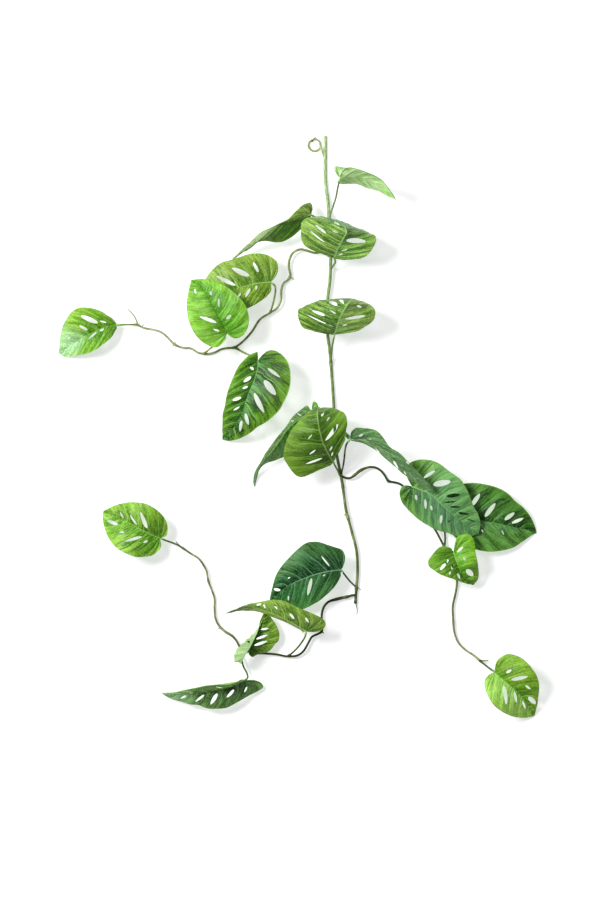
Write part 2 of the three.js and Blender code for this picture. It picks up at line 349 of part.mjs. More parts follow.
    rib: [[159, 538, 18], [148, 533, 25], [140, 529, 27], [130, 523, 23], [118, 517, 13], [103, 511.3, 0.5]],
    sides: [
      [[161.5, 537], [165.6, 536], [167.3, 532], [166.9, 524.7], [163.7, 517.4], [158.5, 511.3], [152.3, 506.8],
        [146.2, 503.9], [139, 502.7], [130, 502.2], [120.8, 503.7], [111.7, 506.8]],
      [[160, 541.5], [160.6, 546.4], [158, 551.2], [152.3, 555.3], [145, 556.8], [136, 556.8], [127.7, 554.1],
        [120.5, 550.7], [114.4, 546], [109.3, 539.3], [105.2, 530.3], [102.5, 520]]],
    holes: [[124, 518.3, 119.2, 512, 2.4], [136.3, 525, 130, 514.5, 2.4], [147.5, 528.5, 141.3, 512, 4],
      [117.3, 525, 106.5, 520.5, 3.6], [124.6, 532.8, 119.6, 532.4, 2.4], [141.3, 536.4, 124.3, 541.4, 3],
      [148, 541, 143, 543, 2.2]],
  },
};

const wasm = await Module();
wasm.setup();

const at = ([x, y, z]) => new THREE.Vector3((x - PLAN_CENTRE[0]) * GRID, (PLAN_CENTRE[1] - y) * GRID, z);
const flatDistance = (p, q) => Math.hypot(p.x - q.x, p.y - q.y);
const smooth = (points) => new THREE.CatmullRomCurve3(points, false, 'centripetal');

function solid(geometry) {
  const bare = geometry.clone();
  bare.deleteAttribute('normal');
  bare.deleteAttribute('uv');
  const merged = mergeVertices(bare, 1e-4);
  return new wasm.Manifold(new wasm.Mesh({
    numProp: 3,
    vertProperties: new Float32Array(merged.attributes.position.array),
    triVerts: new Uint32Array(merged.index.array),
  }));
}

function toGeometry(manifold) {
  const mesh = manifold.getMesh();
  const geometry = new THREE.BufferGeometry();
  geometry.setAttribute('position', new THREE.BufferAttribute(new Float32Array(mesh.vertProperties), 3));
  geometry.setIndex(new THREE.BufferAttribute(new Uint32Array(mesh.triVerts), 1));
  geometry.computeVertexNormals();
  return geometry;
}

// A round bar along a curve whose radius runs evenly from one end's to the other's.
function bar(curve, steps, sides, startRadius, endRadius) {
  const tube = new THREE.TubeGeometry(curve, steps, 1, sides);
  const position = tube.attributes.position;
  const ring = sides + 1;
  const vertex = new THREE.Vector3();
  for (let i = 0; i < position.count; i++) {
    const along = Math.floor(i / ring) / steps;
    const middle = curve.getPointAt(along);
    vertex.fromBufferAttribute(position, i).sub(middle);
    vertex.multiplyScalar(THREE.MathUtils.lerp(startRadius, endRadius, along)).add(middle);
    position.setXYZ(i, vertex.x, vertex.y, vertex.z);
  }
  const index = Array.from(tube.index.array);
  const last = steps * ring;
  for (let j = 1; j < sides - 1; j++) index.push(0, j, j + 1, last, last + j + 1, last + j);
  tube.setIndex(index);
  const made = solid(tube);
  if (made.volume() > 0) return made;
  for (let i = 0; i < index.length; i += 3) [index[i], index[i + 1]] = [index[i + 1], index[i]];
  tube.setIndex(index);
  return solid(tube);
}

function stretch(curve, from, to) {
  const count = Math.max(4, Math.round((to - from) * curve.getLength() / 5));
  const points = [];
  for (let i = 0; i <= count; i++) points.push(curve.getPointAt(THREE.MathUtils.lerp(from, to, i / count)));
  return smooth(points);
}

// ---- Leaves ----

function edgeCurve(points, rib, slope) {
  const samples = rib.getSpacedPoints(60);
  const placed = points.map((point) => {
    const spot = at([point[0], point[1], point[2] ?? 0]);
    if (point.length < 3) {
      const nearest = samples.reduce((best, sample) => (
        flatDistance(sample, spot) < flatDistance(best, spot) ? sample : best));
      spot.z = Math.max(nearest.z + slope * flatDistance(nearest, spot), BLADE / 2);
    }
    return spot;
  });
  return smooth([...placed, samples[60]]);
}

function leafSurface(leaf) {
  const rib = smooth(leaf.rib.map(at));
  const slope = leaf.slope ?? [0, 0];
  const edges = leaf.sides.map((side, k) => edgeCurve(side, rib, slope[k]));
  const middles = (leaf.middles ?? []).map((side) => side && edgeCurve(side, rib, 0));
  // along 0 at the notch, 1 at the tip; across 0 on the rib, 1 on the edge
  return (side, along, across) => {
    const fan = leaf.fan ?? 0.3;
    const root = along <= fan ? 0 : ((along - fan) / (1 - fan)) ** 1.1;
    const start = rib.getPointAt(Math.min(root, 1));
    const end = edges[side].getPointAt(along);
    if (middles[side]) {
      const middle = middles[side].getPointAt(along);
      return start.multiplyScalar((1 - across) * (1 - 2 * across))
        .addScaledVector(middle, 4 * across * (1 - across)).addScaledVector(end, across * (2 * across - 1));
    }
    start.lerp(end, across);
    start.z += leaf.arch * 4 * across * (1 - across) * Math.sin(Math.PI * along);
    return start;
  };
}

// The leaf's middle surface as one sheet of triangles.
function leafSheet(surface, leaf) {
  const points = [];
  const triangles = [];
  const numbers = new Map();
  const number = (point) => {
    const key = [point.x, point.y, point.z].map((value) => value.toFixed(3)).join();
    if (!numbers.has(key)) {
      numbers.set(key, points.length);
      points.push(point);
    }
    return numbers.get(key);
  };
  const add = (a, b, c) => {
    if (a !== b && b !== c && c !== a) triangles.push([a, b, c]);
  };
  for (const side of [0, 1]) {
    const grid = [];
    for (let i = 0; i <= ROWS; i++) {
      grid.push([]);
      for (let j = 0; j <= COLUMNS; j++) grid[i].push(number(surface(side, i / ROWS, j / COLUMNS)));
    }
    for (let i = 0; i < ROWS; i++) {
      for (let j = 0; j < COLUMNS; j++) {
        const [a, b, c, d] = [grid[i][j], grid[i][j + 1], grid[i + 1][j + 1], grid[i + 1][j]];
        const turn = (p, q, r) => (side ? add(p, q, r) : add(p, r, q));
        if (points[a].distanceTo(points[c]) < points[b].distanceTo(points[d])) {
          turn(a, b, c);
          turn(a, c, d);
        } else {
          turn(a, b, d);
          turn(b, c, d);
        }
      }
    }
  }
  const normals = points.map(() => new THREE.Vector3());
  const normal = ([a, b, c]) => points[b].clone().sub(points[a]).cross(points[c].clone().sub(points[a]));
  const facing = triangles.reduce((sum, triangle) => sum + normal(triangle).z, 0);
  if ((facing < 0) !== Boolean(leaf.flipped)) triangles.forEach((triangle) => triangle.reverse());
  triangles.forEach((triangle) => triangle.forEach((corner) => normals[corner].add(normal(triangle))));
  normals.forEach((vector) => vector.normalize());
  return { points, triangles, normals };
}

function thicken({ points, triangles, normals }) {
  const count = points.length;
  const position = [];
  for (const half of [BLADE / 2, -BLADE / 2]) {
    points.forEach((point, i) => position.push(...point.clone().addScaledVector(normals[i], half).toArray()));
  }
  const index = [];
  const open = new Map();
  for (const [a, b, c] of triangles) {
    index.push(a, b, c, c + count, b + count, a + count);
    for (const [p, q] of [[a, b], [b, c], [c, a]]) {
      if (!open.delete(`${q},${p}`)) open.set(`${p},${q}`, [p, q]);
    }
  }
  for (const [p, q] of open.values()) index.push(q, p, p + count, q, p + count, q + count);
  const geometry = new THREE.BufferGeometry();
  geometry.setAttribute('position', new THREE.Float32BufferAttribute(position, 3));
  geometry.setIndex(index);
  return solid(geometry);
}

// The surface parameters whose point lies over, or nearest, a spot on the plan.
function locate(surface, x, y) {
  const spot = at([x, y, 0]);
  let best = null;
  for (const side of [0, 1]) {
    for (let along = 0.02; along < 0.99; along += 0.02) {
      for (let across = 0.06; across < 0.97; across += 0.03) {
        const point = surface(side, along, across);
        const distance = flatDistance(point, spot) - point.z * 0.01;
        if (!best || distance < best.distance) best = { distance, side, along, across };
      }
    }
  }
  return best;
}

// A spindle-shaped cutter through the blade.
function holeCutter(surface, hole) {
  let start;
  let end;
  let width = hole[4] * GRID;
  if (hole.length === 6) {
    start = { side: hole[0], along: hole[1], across: hole[2] };
    end = { side: hole[0], along: hole[3], across: hole[4] };
    width = hole[5];
  } else {
    start = locate(surface, hole[0], hole[1]);
    end = locate(surface, hole[2], hole[3]);
  }
  const from = surface(start.side, start.along, start.across);
  const to = surface(end.side, end.along, end.across);
  const along = (start.along + end.along) / 2;
  const across = (start.across + end.across) / 2;
  const step = 0.03;
  const side = start.side;
  const tangent = surface(side, along + step, across).sub(surface(side, along - step, across));
  const outward = surface(side, along, across + step).sub(surface(side, along, across - step));
  const up = tangent.cross(outward).normalize();
  const axis = to.clone().sub(from);
  const length = axis.length();
  axis.addScaledVector(up, -axis.dot(up)).normalize();
  const widthwise = up.clone().cross(axis);
  const shape = new THREE.Shape();
  const half = width / 2;
  shape.moveTo(0, 0);
  const outline = width < WIDE_HOLE ? [[0.45, -1], [1, 0], [0.45, 1]]
    : [[0.25, -0.95], [0.75, -0.85], [1, 0], [0.75, 0.85], [0.25, 0.95]];
  for (const [t, w] of outline) shape.lineTo(t * length, w * half);
  const cutter = new THREE.ExtrudeGeometry(shape, { depth: 2 * HOLE_DEPTH, bevelEnabled: false });
  cutter.translate(0, 0, -HOLE_DEPTH);
  const frame = new THREE.Matrix4().makeBasis(axis, widthwise, up);
  frame.setPosition(from.lerp(to, 0.5).addScaledVector(axis, -length / 2));
  cutter.applyMatrix4(frame);
  return solid(cutter);
}

function stalkCurve(leaf) {
  return smooth(leaf.stalk.map(at));
}

function leafSolid(leaf) {
  const surface = leafSurface(leaf);
  let blade = thicken(leafSheet(surface, leaf));
  const cut = leaf.holes.filter((hole) => hole.at(-1) > SLIT);
  for (const hole of cut) blade = blade.subtract(holeCutter(surface, hole));
  const stalk = stalkCurve(leaf);
  const sleeve = stretch(stalk, 1 - (leaf.socket ?? SOCKET) / stalk.getLength(), 1).getSpacedPoints(3);
  const inside = surface(0, 0.5, 0).lerp(surface(0, 0, 0), 0.5);
  sleeve.push(sleeve[3].clone().lerp(inside, Math.min(1, 4 / sleeve[3].distanceTo(inside))));
  return blade.add(bar(smooth(sleeve), 2, 5, SOCKET_R, 0.9));
}

// ---- Stems ----

function knot([x, y, z, radius], curve) {
  const ball = new THREE.OctahedronGeometry(radius * 1.25, 0);
  ball.scale(1, 1, 1.5);
  const spot = at([x, y, z]);
  const spaced = curve.getSpacedPoints(200);
  const nearest = spaced.reduce((best, p, i) => (p.distanceTo(spot) < spaced[best].distanceTo(spot) ? i : best), 0);
  const direction = curve.getTangentAt(nearest / 200);
  ball.applyQuaternion(new THREE.Quaternion().setFromUnitVectors(new THREE.Vector3(0, 0, 1), direction));
  ball.translate(...spaced[nearest].toArray());
  return solid(ball);
}

function stemSolid(name, stem) {
  const curve = smooth(stem.path.map(at));
  let made = bar(curve, stem.steps, stem.facets, ...stem.radius);
  for (const spot of stem.knots) made = made.add(knot(spot, curve));
  for (const twig of stem.twigs) {
    made = made.add(bar(smooth(twig.map(at)), 2 * twig.length - 2, 5, stem.twigRadius, stem.twigRadius * 0.6));
  }
  for (const leaf of Object.values(LEAVES)) {
    if (leaf.stem !== name) continue;
    const stalk = stalkCurve(leaf);
    const length = stalk.getLength();
    const end = 1 - ((leaf.socket ?? SOCKET) + 1.5 * GAP) / length;
    made = made.add(bar(stretch(stalk, 0, end), Math.ceil(length * end / 11) + 1, 5, STALK_R * 1.15, STALK_R));
  }
  return made;
}

// The main stem grown by the gap that the pieces fixed to it keep.
function mainStemClearance() {
  const { path, radius, steps, facets, knots } = STEMS.main_stem;
  const curve = smooth(path.map(at));
  const grown = bar(curve, steps, facets, radius[0] + 1.1 * GAP, radius[1] + 1.1 * GAP);
  return knots.reduce((made, [x, y, z, r]) => made.add(knot([x, y, z, r + 1.6 * GAP], curve)), grown);
}

function underside() {
  const slab = new THREE.BoxGeometry(900, 900, 20);
  slab.translate(0, 0, -10);
  return solid(slab);
}

function loopSolid() {
  const { centre, z, radius, wire } = LOOP;
  const ring = new THREE.TorusGeometry(radius, wire, 6, 18);
  const middle = at([...centre, z]);
  ring.translate(middle.x, middle.y, middle.z);
  const arm = smooth([[319.6, 141.3, z], [320.9, 146, z], [322, 150, z], [323.6, 154, 2.1], [325.3, 158, 2.1]].map(at));
  const twist = smooth([[311.8, 141.1, z], [313.3, 138.8, z + 0.6], [315.6, 136.5, z + 0.4]].map(at));
  return solid(ring).add(bar(arm, 5, 6, 1.4, 1.4)).add(bar(twist, 2, 5, 1.1, 0.8)).subtract(mainStemClearance());
}

// ---- The garland ----

const garland = new THREE.Group();

function place(name, manifold, colour, roughness) {
  const material = new THREE.MeshStandardMaterial({ color: colour, roughness, metalness: 0 });
  const mesh = new THREE.Mesh(toGeometry(manifold), material);
  mesh.name = name;
  garland.add(mesh);
}

for (const [name, stem] of Object.entries(STEMS)) {
  let made = stemSolid(name, stem);
  if (name !== 'main_stem') made = made.subtract(mainStemClearance());
  made = made.subtract(underside());
  place(name, made, stem.colour, 0.6);
}
place('hanging_loop', loopSolid(), 0x6f7a52, 0.55);
for (const [name, leaf] of Object.entries(LEAVES)) place(name, leafSolid(leaf), leaf.colour, 0.4);

export default garland;
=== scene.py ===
import math
from bisect import bisect

import bpy
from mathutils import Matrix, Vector, noise


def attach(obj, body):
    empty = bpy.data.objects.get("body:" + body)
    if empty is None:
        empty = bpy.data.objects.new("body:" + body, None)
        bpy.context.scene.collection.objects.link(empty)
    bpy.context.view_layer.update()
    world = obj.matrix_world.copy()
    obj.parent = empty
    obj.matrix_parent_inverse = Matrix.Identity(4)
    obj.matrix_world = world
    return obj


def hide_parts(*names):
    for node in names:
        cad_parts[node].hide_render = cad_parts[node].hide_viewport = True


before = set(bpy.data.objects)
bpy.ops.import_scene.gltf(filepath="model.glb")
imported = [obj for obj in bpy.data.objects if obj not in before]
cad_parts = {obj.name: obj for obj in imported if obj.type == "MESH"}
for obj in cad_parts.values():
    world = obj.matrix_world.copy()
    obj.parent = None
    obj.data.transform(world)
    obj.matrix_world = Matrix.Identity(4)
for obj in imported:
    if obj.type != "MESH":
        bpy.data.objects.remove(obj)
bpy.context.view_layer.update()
print("frame loaded:", len(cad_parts), "CAD nodes")

mm = 0.001
sameSpot = 0.01 * mm  # points nearer than this are one

# The garland is laid out on a plan grid: x to the right, y towards its lower end, z in mm
plan = {"step": 1.372 * mm, "middle": (298.593, 426.669)}


def at(spot):
    height = spot[2] * mm if len(spot) > 2 else 0
    return Vector(((spot[0] - plan["middle"][0]) * plan["step"],
                   (plan["middle"][1] - spot[1]) * plan["step"], height))


# A smooth path through points, kept as close spots with their distance from its start
def smoothPath(points, fine=16):
    ends = [points[0] * 2 - points[1], *points, points[-1] * 2 - points[-2]]
    spots = [points[0].copy()]
    for before, start, end, after in zip(ends, ends[1:], ends[2:], ends[3:]):
        gaps = [max((q - p).length, 1e-6) ** 0.5 for p, q in ((before, start), (start, end), (end, after))]
        leave = ((start - before) / gaps[0] - (end - before) / (gaps[0] + gaps[1])
                 + (end - start) / gaps[1]) * gaps[1]
        arrive = ((end - start) / gaps[1] - (after - start) / (gaps[1] + gaps[2])
                  + (after - end) / gaps[2]) * gaps[1]
        for i in range(1, fine + 1):
            t = i / fine
            spots.append(start + leave * t + ((end - start) * 3 - leave * 2 - arrive) * t ** 2
                         + ((start - end) * 2 + leave + arrive) * t ** 3)
    reach = [0]
    for p, q in zip(spots, spots[1:]):
        reach.append(reach[-1] + (q - p).length)
    return {"spots": spots, "reach": reach}


def walk(path, share):
    reach = path["reach"]
    far = min(max(share, 0), 1) * reach[-1]
    i = min(max(bisect(reach, far), 1), len(reach) - 1)
    step = reach[i] - reach[i - 1]
    return path["spots"][i - 1].lerp(path["spots"][i], (far - reach[i - 1]) / step if step else 0)


def partOf(path, start, end, count=12):
    return smoothPath([walk(path, start + (end - start) * i / count) for i in range(count + 1)], fine=4)


def nearestShare(path, spot, count=300):
    return min(range(count + 1), key=lambda i: (walk(path, i / count) - spot).length) / count


def selectOnly(*pieces):
    bpy.ops.object.select_all(action="DESELECT")
    for piece in pieces:
        piece.select_set(True)
    bpy.context.view_layer.objects.active = pieces[0]


def startGrid(name, columns, rows):
    bpy.ops.object.select_all(action="DESELECT")
    bpy.ops.mesh.primitive_grid_add(x_subdivisions=columns, y_subdivisions=rows, size=2)
    piece = bpy.context.object
    piece.name = piece.data.name = name
    return piece


def closeSeams(piece, outward=True):
    selectOnly(piece)
    bpy.ops.object.mode_set(mode="EDIT")
    bpy.ops.mesh.select_all(action="SELECT")
    bpy.ops.mesh.remove_doubles(threshold=sameSpot)
    if outward:
        bpy.ops.mesh.normals_make_consistent(inside=False)
    bpy.ops.object.mode_set(mode="OBJECT")


def joinPieces(pieces, name):
    selectOnly(*pieces)
    if len(pieces) > 1:
        bpy.ops.object.join()
    pieces[0].name = pieces[0].data.name = name
    return pieces[0]


def applyModifier(piece, kind, **settings):
    selectOnly(piece)
    modifier = piece.modifiers.new(kind.title(), kind)
    for key, value in settings.items():
        setattr(modifier, key, value)
    bpy.ops.object.modifier_apply(modifier=modifier.name)


# the garland lies on a flat surface, so nothing reaches under it
def layFlat(piece):
    for vertex in piece.data.vertices:
        vertex.co.z = max(vertex.co.z, 0)


def smoothShade(piece, angle):
    selectOnly(piece)
    bpy.ops.object.shade_smooth_by_angle(angle=math.radians(angle))


mapLength = 10 * mm  # of a stem, for 1 on its wrap map
# a cut end is bevelled by 0.35 mm, or an eighth of a short piece, and flat over three quarters
cutEnd = {"bevel": 0.35, "part": 8, "flat": 0.75}


# A grid wrapped round a path: its x goes round, its y along. radiusAt takes the distance and the turn
def wrapRound(name, path, radiusAt, tintAt, sides=12, step=1.6 * mm):
    length = path["reach"][-1]
    count = max(3, round(length / step))
    bevel = min(cutEnd["bevel"] * mm, length / cutEnd["part"])
    rings = [(0, 0), (0, cutEnd["flat"]), (bevel, 1)]
    rings += [(length * i / count, 1) for i in range(1, count)]
    rings += [(length - bevel, 1), (length, cutEnd["flat"]), (length, 0)]
    piece = startGrid(name, sides, len(rings) - 1)
    frames = []
    up = None
    # the direction is read this share of the path before and behind, and a steep start takes its up from y
    near, steep = 0.002, 0.8
    for far, _ in rings:
        share = far / length
        middle = walk(path, share)
        ahead = (walk(path, share + near) - walk(path, share - near)).normalized()
        if up is None:
            up = Vector((0, 0, 1)) if abs(ahead.z) < steep else Vector((0, 1, 0))
        up = (up - ahead * up.dot(ahead)).normalized()
        frames.append((middle, up, ahead.cross(up)))
    mesh = piece.data
    wrapMap = mesh.uv_layers[0]
    wrapMap.name = "wrap"
    tint = mesh.color_attributes.new("tint", "FLOAT_COLOR", "POINT")
    where = [(v.co.x * math.pi, round((v.co.y + 1) / 2 * (len(rings) - 1))) for v in mesh.vertices]
    for loop in mesh.loops:
        turn, ring = where[loop.vertex_index]
        wrapMap.data[loop.index].uv = (turn / math.tau + 0.5, rings[ring][0] / mapLength)
    for vertex, (turn, ring) in zip(mesh.vertices, where):
        far, full = rings[ring]
        middle, above, beside = frames[ring]
        tint.data[vertex.index].color = tintAt(far / length)
        vertex.co = middle + (above * math.cos(turn) + beside * math.sin(turn)) * radiusAt(far, turn) * full
    closeSeams(piece)
    return piece


def linear(hexColour):
    parts = [int(hexColour[i:i + 2], 16) / 255 for i in (1, 3, 5)]
    return (*(p / 12.92 if p <= 0.04045 else ((p + 0.055) / 1.055) ** 2.4 for p in parts), 1)


# Between the colours of stops such as [(0, "#c9daa7"), (1, "#536039")]
def tintBetween(stops, share):
    for (low, first), (high, second) in zip(stops, stops[1:]):
        if share <= high:
            t = (share - low) / (high - low)
            return [p + (q - p) * max(t, 0) for p, q in zip(linear(first), linear(second))]
    return linear(stops[-1][1])


# The kinds of node in plain words: Blender's name, the inputs that the values fill, the output and settings
nodeKinds = {
    "times": ("Math", (0, 1), 0, {"operation": "MULTIPLY"}),
    "timesPlus": ("Math", (0, 1, 2), 0, {"operation": "MULTIPLY_ADD"}),
    "minus": ("Math", (0, 1), 0, {"operation": "SUBTRACT"}),
    "power": ("Math", (0, 1), 0, {"operation": "POWER"}),
    "unsigned": ("Math", (0,), 0, {"operation": "ABSOLUTE"}),
    "zigzag": ("Math", (0, 1), 0, {"operation": "PINGPONG"}),
    "fade": ("MapRange", (0, 1, 2, 3, 4), 0, {"interpolation_type": "SMOOTHSTEP"}),
    "blend": ("Mix", (0, 6, 7), 2, {"data_type": "RGBA"}),
    "darken": ("Mix", (0, 6, 7), 2, {"data_type": "RGBA", "blend_type": "MULTIPLY"}),
    "noise": ("TexNoise", ("Vector", "Scale", "Detail", "Roughness", "Distortion"), 0, {}),
    "stretch": ("Mapping", ("Vector", "Scale"), 0, {}),
    "shift": ("Mapping", ("Vector", "Location"), 0, {}),
    "combine": ("CombineXYZ", (0, 1, 2), 0, {}),
    "firstPart": ("SeparateXYZ", (0,), 0, {}),
    "secondPart": ("SeparateXYZ", (0,), 1, {}),
    "map": ("UVMap", (), 0, {}),
    "place": ("TexCoord", (), "Object", {}),
    "paint": ("Attribute", (), "Color", {}),
    "bump": ("Bump", ("Height", "Strength", "Distance"), 0, {}),
    "surface": ("BsdfPrincipled", ("Base Color", "Roughness", "Specular IOR Level", "IOR", "Normal"), 0, {}),
    "paper": ("BsdfPrincipled", ("Base Color", "Roughness", "Specular IOR Level", "Emission Color",
                                 "Emission Strength"), 0, {}),
    "output": ("OutputMaterial", ("Surface",), None, {}),
}


# Adds a node of one of these kinds. Each value is a number, a hex colour or another node's output
def add(tree, kind, *values, **settings):
    kind, places, output, fixed = nodeKinds[kind]
    made = tree.nodes.new("ShaderNode" + kind)
    for key, value in {**fixed, **settings}.items():
        setattr(made, key, value)
    for key, value in zip(places, values):
        if isinstance(value, bpy.types.NodeSocket):
            tree.links.new(value, made.inputs[key])
        else:
            made.inputs[key].default_value = linear(value) if isinstance(value, str) else value
    return None if output is None else made.outputs[output]


def startMaterial(name):
    material = bpy.data.materials.new(name)
    material.use_nodes = True
    material.node_tree.nodes.clear()
    return material, material.node_tree


plasticIor = 1.5  # soft PE, and the latex coat on the cloth


# Vine stem: a wire core with soft PE moulded round it. Satin, with fine lengthwise fibres, painted shade in
# the grooves between them, and its colour dusted on, so it is uneven from place to place.
def stemMaterial(name, look):
    material, tree = startMaterial(name)
    place = add(tree, "place")
    tint = add(tree, "paint", attribute_name="tint")
    # the wrap map is 1 round the stem and 1 for 10 mm of it, so these fibres are 8 mm long
    fibreSpace = add(tree, "stretch", add(tree, "map", uv_map="wrap"), (look["fibresRound"], 1.25, 1))
    fibres = add(tree, "noise", fibreSpace, 1.0, 3.0, 0.6)
    dusting = add(tree, "noise", place, 1 / (look["dusting"] * mm), 4.0, 0.55)
    specks = add(tree, "noise", place, 1 / (look["specks"] * mm), 2.0)
    # a darker copy of the colour: painted shade in the fibre grooves, and dark specks
    deep = add(tree, "darken", 1.0, tint, look["deep"])
    pale = add(tree, "blend", look["paleness"], tint, look["pale"])
    colour = add(tree, "blend", add(tree, "fade", fibres, 0.38, 0.66, 0.0, 0.75), deep, tint)
    colour = add(tree, "blend", add(tree, "fade", dusting, 0.5, 0.72, 0.0, 0.8), colour, pale)
    colour = add(tree, "blend", add(tree, "fade", specks, 0.62, 0.72, 0.0, 0.5), colour, deep)
    bump = add(tree, "bump", add(tree, "timesPlus", specks, 0.3, fibres), 0.35, look["relief"] * mm)
    shader = add(tree, "surface", colour, look["roughness"], look["specular"], plasticIor, bump)
    add(tree, "output", shader)
    return material


# Leaf: printed and embossed polyester with a thin latex coat on top, semi-gloss. Its colour carries painted
# shade in random patches, along the rib and beside the holes, and painted sheen in pale zones; the print
# is streaked along the side veins, which leave the rib between the holes.
def leafMaterial(name, look):
    material, tree = startMaterial(name)
    bladeMap = add(tree, "map", uv_map="blade")
    place = add(tree, "place")
    signed, along = add(tree, "firstPart", bladeMap), add(tree, "secondPart", bladeMap)
    across = add(tree, "unsigned", signed)
    phase = add(tree, "secondPart", add(tree, "map", uv_map="veins"))
    side = add(tree, "fade", signed, -0.03, 0.03)

    # a pair of settings, one for each side of the leaf
    def ofSide(pair):
        return add(tree, "timesPlus", side, pair[1] - pair[0], pair[0])

    # noise over the vein direction: rows counts its grains from vein to vein, reach from rib to edge
    def grain(rows, reach, shift):
        space = add(tree, "combine", add(tree, "times", swept, rows), add(tree, "times", across, reach),
                    look["seed"] + shift)
        return add(tree, "noise", space, 1.0, 3.0, 0.6, 0.3)

    # noise in the leaf's own space, its size in mm
    def patches(size, shift, detail):
        space = add(tree, "shift", place, (look["seed"] + shift, 0, 0))
        return add(tree, "noise", space, 1 / (size * mm), detail)

    # veins sweep forward to the tip as they near the edge, and waver a little
    swept = add(tree, "timesPlus", add(tree, "power", across, 2), -look["sweep"], phase)
    swept = add(tree, "timesPlus", add(tree, "minus", patches(12, 0, 2.0), 0.5), 0.3, swept)
    fromVein = add(tree, "zigzag", swept, 0.5)
    streaks = grain(3.0, 1.3, 0)
    lines = grain(9, 1.7, 5)
    broad = patches(24, 3, 2.0)
    mottle = patches(2.2, 9, 4.0)

    # each side's ground tone, which partly paints light and shade: one half lighter, the other darker
    ground = add(tree, "blend", side, *look["tones"])
    # a shaded copy of the ground for painted shade, and a paler copy for painted sheen
    deep = add(tree, "darken", 1.0, ground, look["deep"])
    sheenTone = add(tree, "blend", 0.6, ground, look["sheenTone"])
    # painted shade in random broad patches and streaks
    patchShade = add(tree, "timesPlus", broad, 0.5, add(tree, "times", streaks, 0.5))
    colour = add(tree, "blend", add(tree, "fade", patchShade, 0.4, 0.56, look["patchShade"], 0.0), ground, deep)
    # painted sheen: pale zones, more of them towards the edge
    high = add(tree, "timesPlus", grain(1.6, 1.1, 11), 0.55, add(tree, "times", patches(17, 6, 3.0), 0.45))
    high = add(tree, "timesPlus", across, 0.12, high)
    sheen = add(tree, "times", add(tree, "fade", high, 0.5, 0.66), ofSide(look["sheen"]))
    colour = add(tree, "blend", sheen, colour, sheenTone)
    # the print is yellower towards the edge, in uneven patches
    outer = add(tree, "timesPlus", broad, 0.9, across)
    colour = add(tree, "blend", add(tree, "fade", outer, 0.9, 1.3, 0.0, look["edgeStrength"]), colour,
                 look["edge"])
    # painted shade on the pleats between veins, where the holes are, darkest in their middle
    pleatShade = add(tree, "times", add(tree, "fade", fromVein, 0.18, 0.44),
                add(tree, "fade", across, 0.72, 0.98, look["band"], look["band"] * 0.3))
    colour = add(tree, "blend", pleatShade, colour, deep)
    # painted shade beside the rib, in streaks
    nearRib = add(tree, "times", add(tree, "fade", across, 0.02, 0.34, 1.0, 0.0),
                  add(tree, "fade", streaks, 0.36, 0.6))
    colour = add(tree, "blend", add(tree, "times", nearRib, look["ribShade"]), colour, deep)
    # bluish beside the rib, in streaks
    bluishNearRib = add(tree, "times", add(tree, "fade", across, 0.08, 0.45, 1.0, 0.0),
                add(tree, "fade", streaks, 0.4, 0.55))
    colour = add(tree, "blend", add(tree, "times", bluishNearRib, ofSide(look["bluishNearRib"])), colour, look["bluishTone"])
    # fine lines and grain of the print: painted shade tone below their middle, painted sheen tone above it
    darkest = add(tree, "darken", 1.0, deep, look["lineTone"])
    for pattern, strength, dark, light in ((lines, look["lines"], (0.34, 0.5), (0.5, 0.66)),
                                           (mottle, look["mottle"], (0.34, 0.48), (0.52, 0.66))):
        colour = add(tree, "blend", add(tree, "fade", pattern, *dark, strength, 0.0), colour, darkest)
        colour = add(tree, "blend", add(tree, "fade", pattern, *light, 0.0, strength), colour, sheenTone)
    # side veins, faint towards the edge
    vein = add(tree, "times", add(tree, "fade", across, 0.45, 0.95, 1.0, 0.1),
               add(tree, "fade", fromVein, look["veinWidth"] * 0.35, look["veinWidth"], 1.0, 0.0))
    colour = add(tree, "blend", add(tree, "times", vein, look["veinStrength"]), colour, look["vein"])
    # painted light towards the tip: pale sheen and bluish reflection on some leaves, shade on others
    paintedTipLight = add(tree, "times", add(tree, "fade", along, look["tipFrom"], look["tipFrom"] + 0.2),
                  add(tree, "fade", add(tree, "timesPlus", streaks, 0.5, mottle), 0.55, 0.85,
                      look["tipStrength"], look["tipStrength"] * 0.4))
    colour = add(tree, "blend", paintedTipLight, colour, look["tip"])
    rib = add(tree, "fade", add(tree, "timesPlus", along, look["ribWidth"] * 0.6, across),
              look["ribWidth"] * 0.8, look["ribWidth"] * 1.5, 1.0, 0.0)
    colour = add(tree, "blend", add(tree, "times", rib, look["ribStrength"]), colour, look["rib"])
    rim = add(tree, "times", add(tree, "fade", across, 0.955, 0.995), look["rimStrength"])
    colour = add(tree, "blend", rim, colour, look["rim"])
    # the walls of the holes, which lie past the edge on the blade map
    colour = add(tree, "blend", add(tree, "fade", across, 1.4, 1.6), colour, look["cut"])
    height = add(tree, "timesPlus", vein, -0.8, add(tree, "times", lines, 1.4))
    height = add(tree, "timesPlus", streaks, 1.4, height)
    bump = add(tree, "bump", height, look["emboss"], look["relief"] * mm)
    rough = add(tree, "timesPlus", add(tree, "minus", streaks, 0.5), 0.3, look["roughness"])
    shader = add(tree, "surface", colour, rough, look["specular"], plasticIor, bump)
    add(tree, "output", shader)
    return material


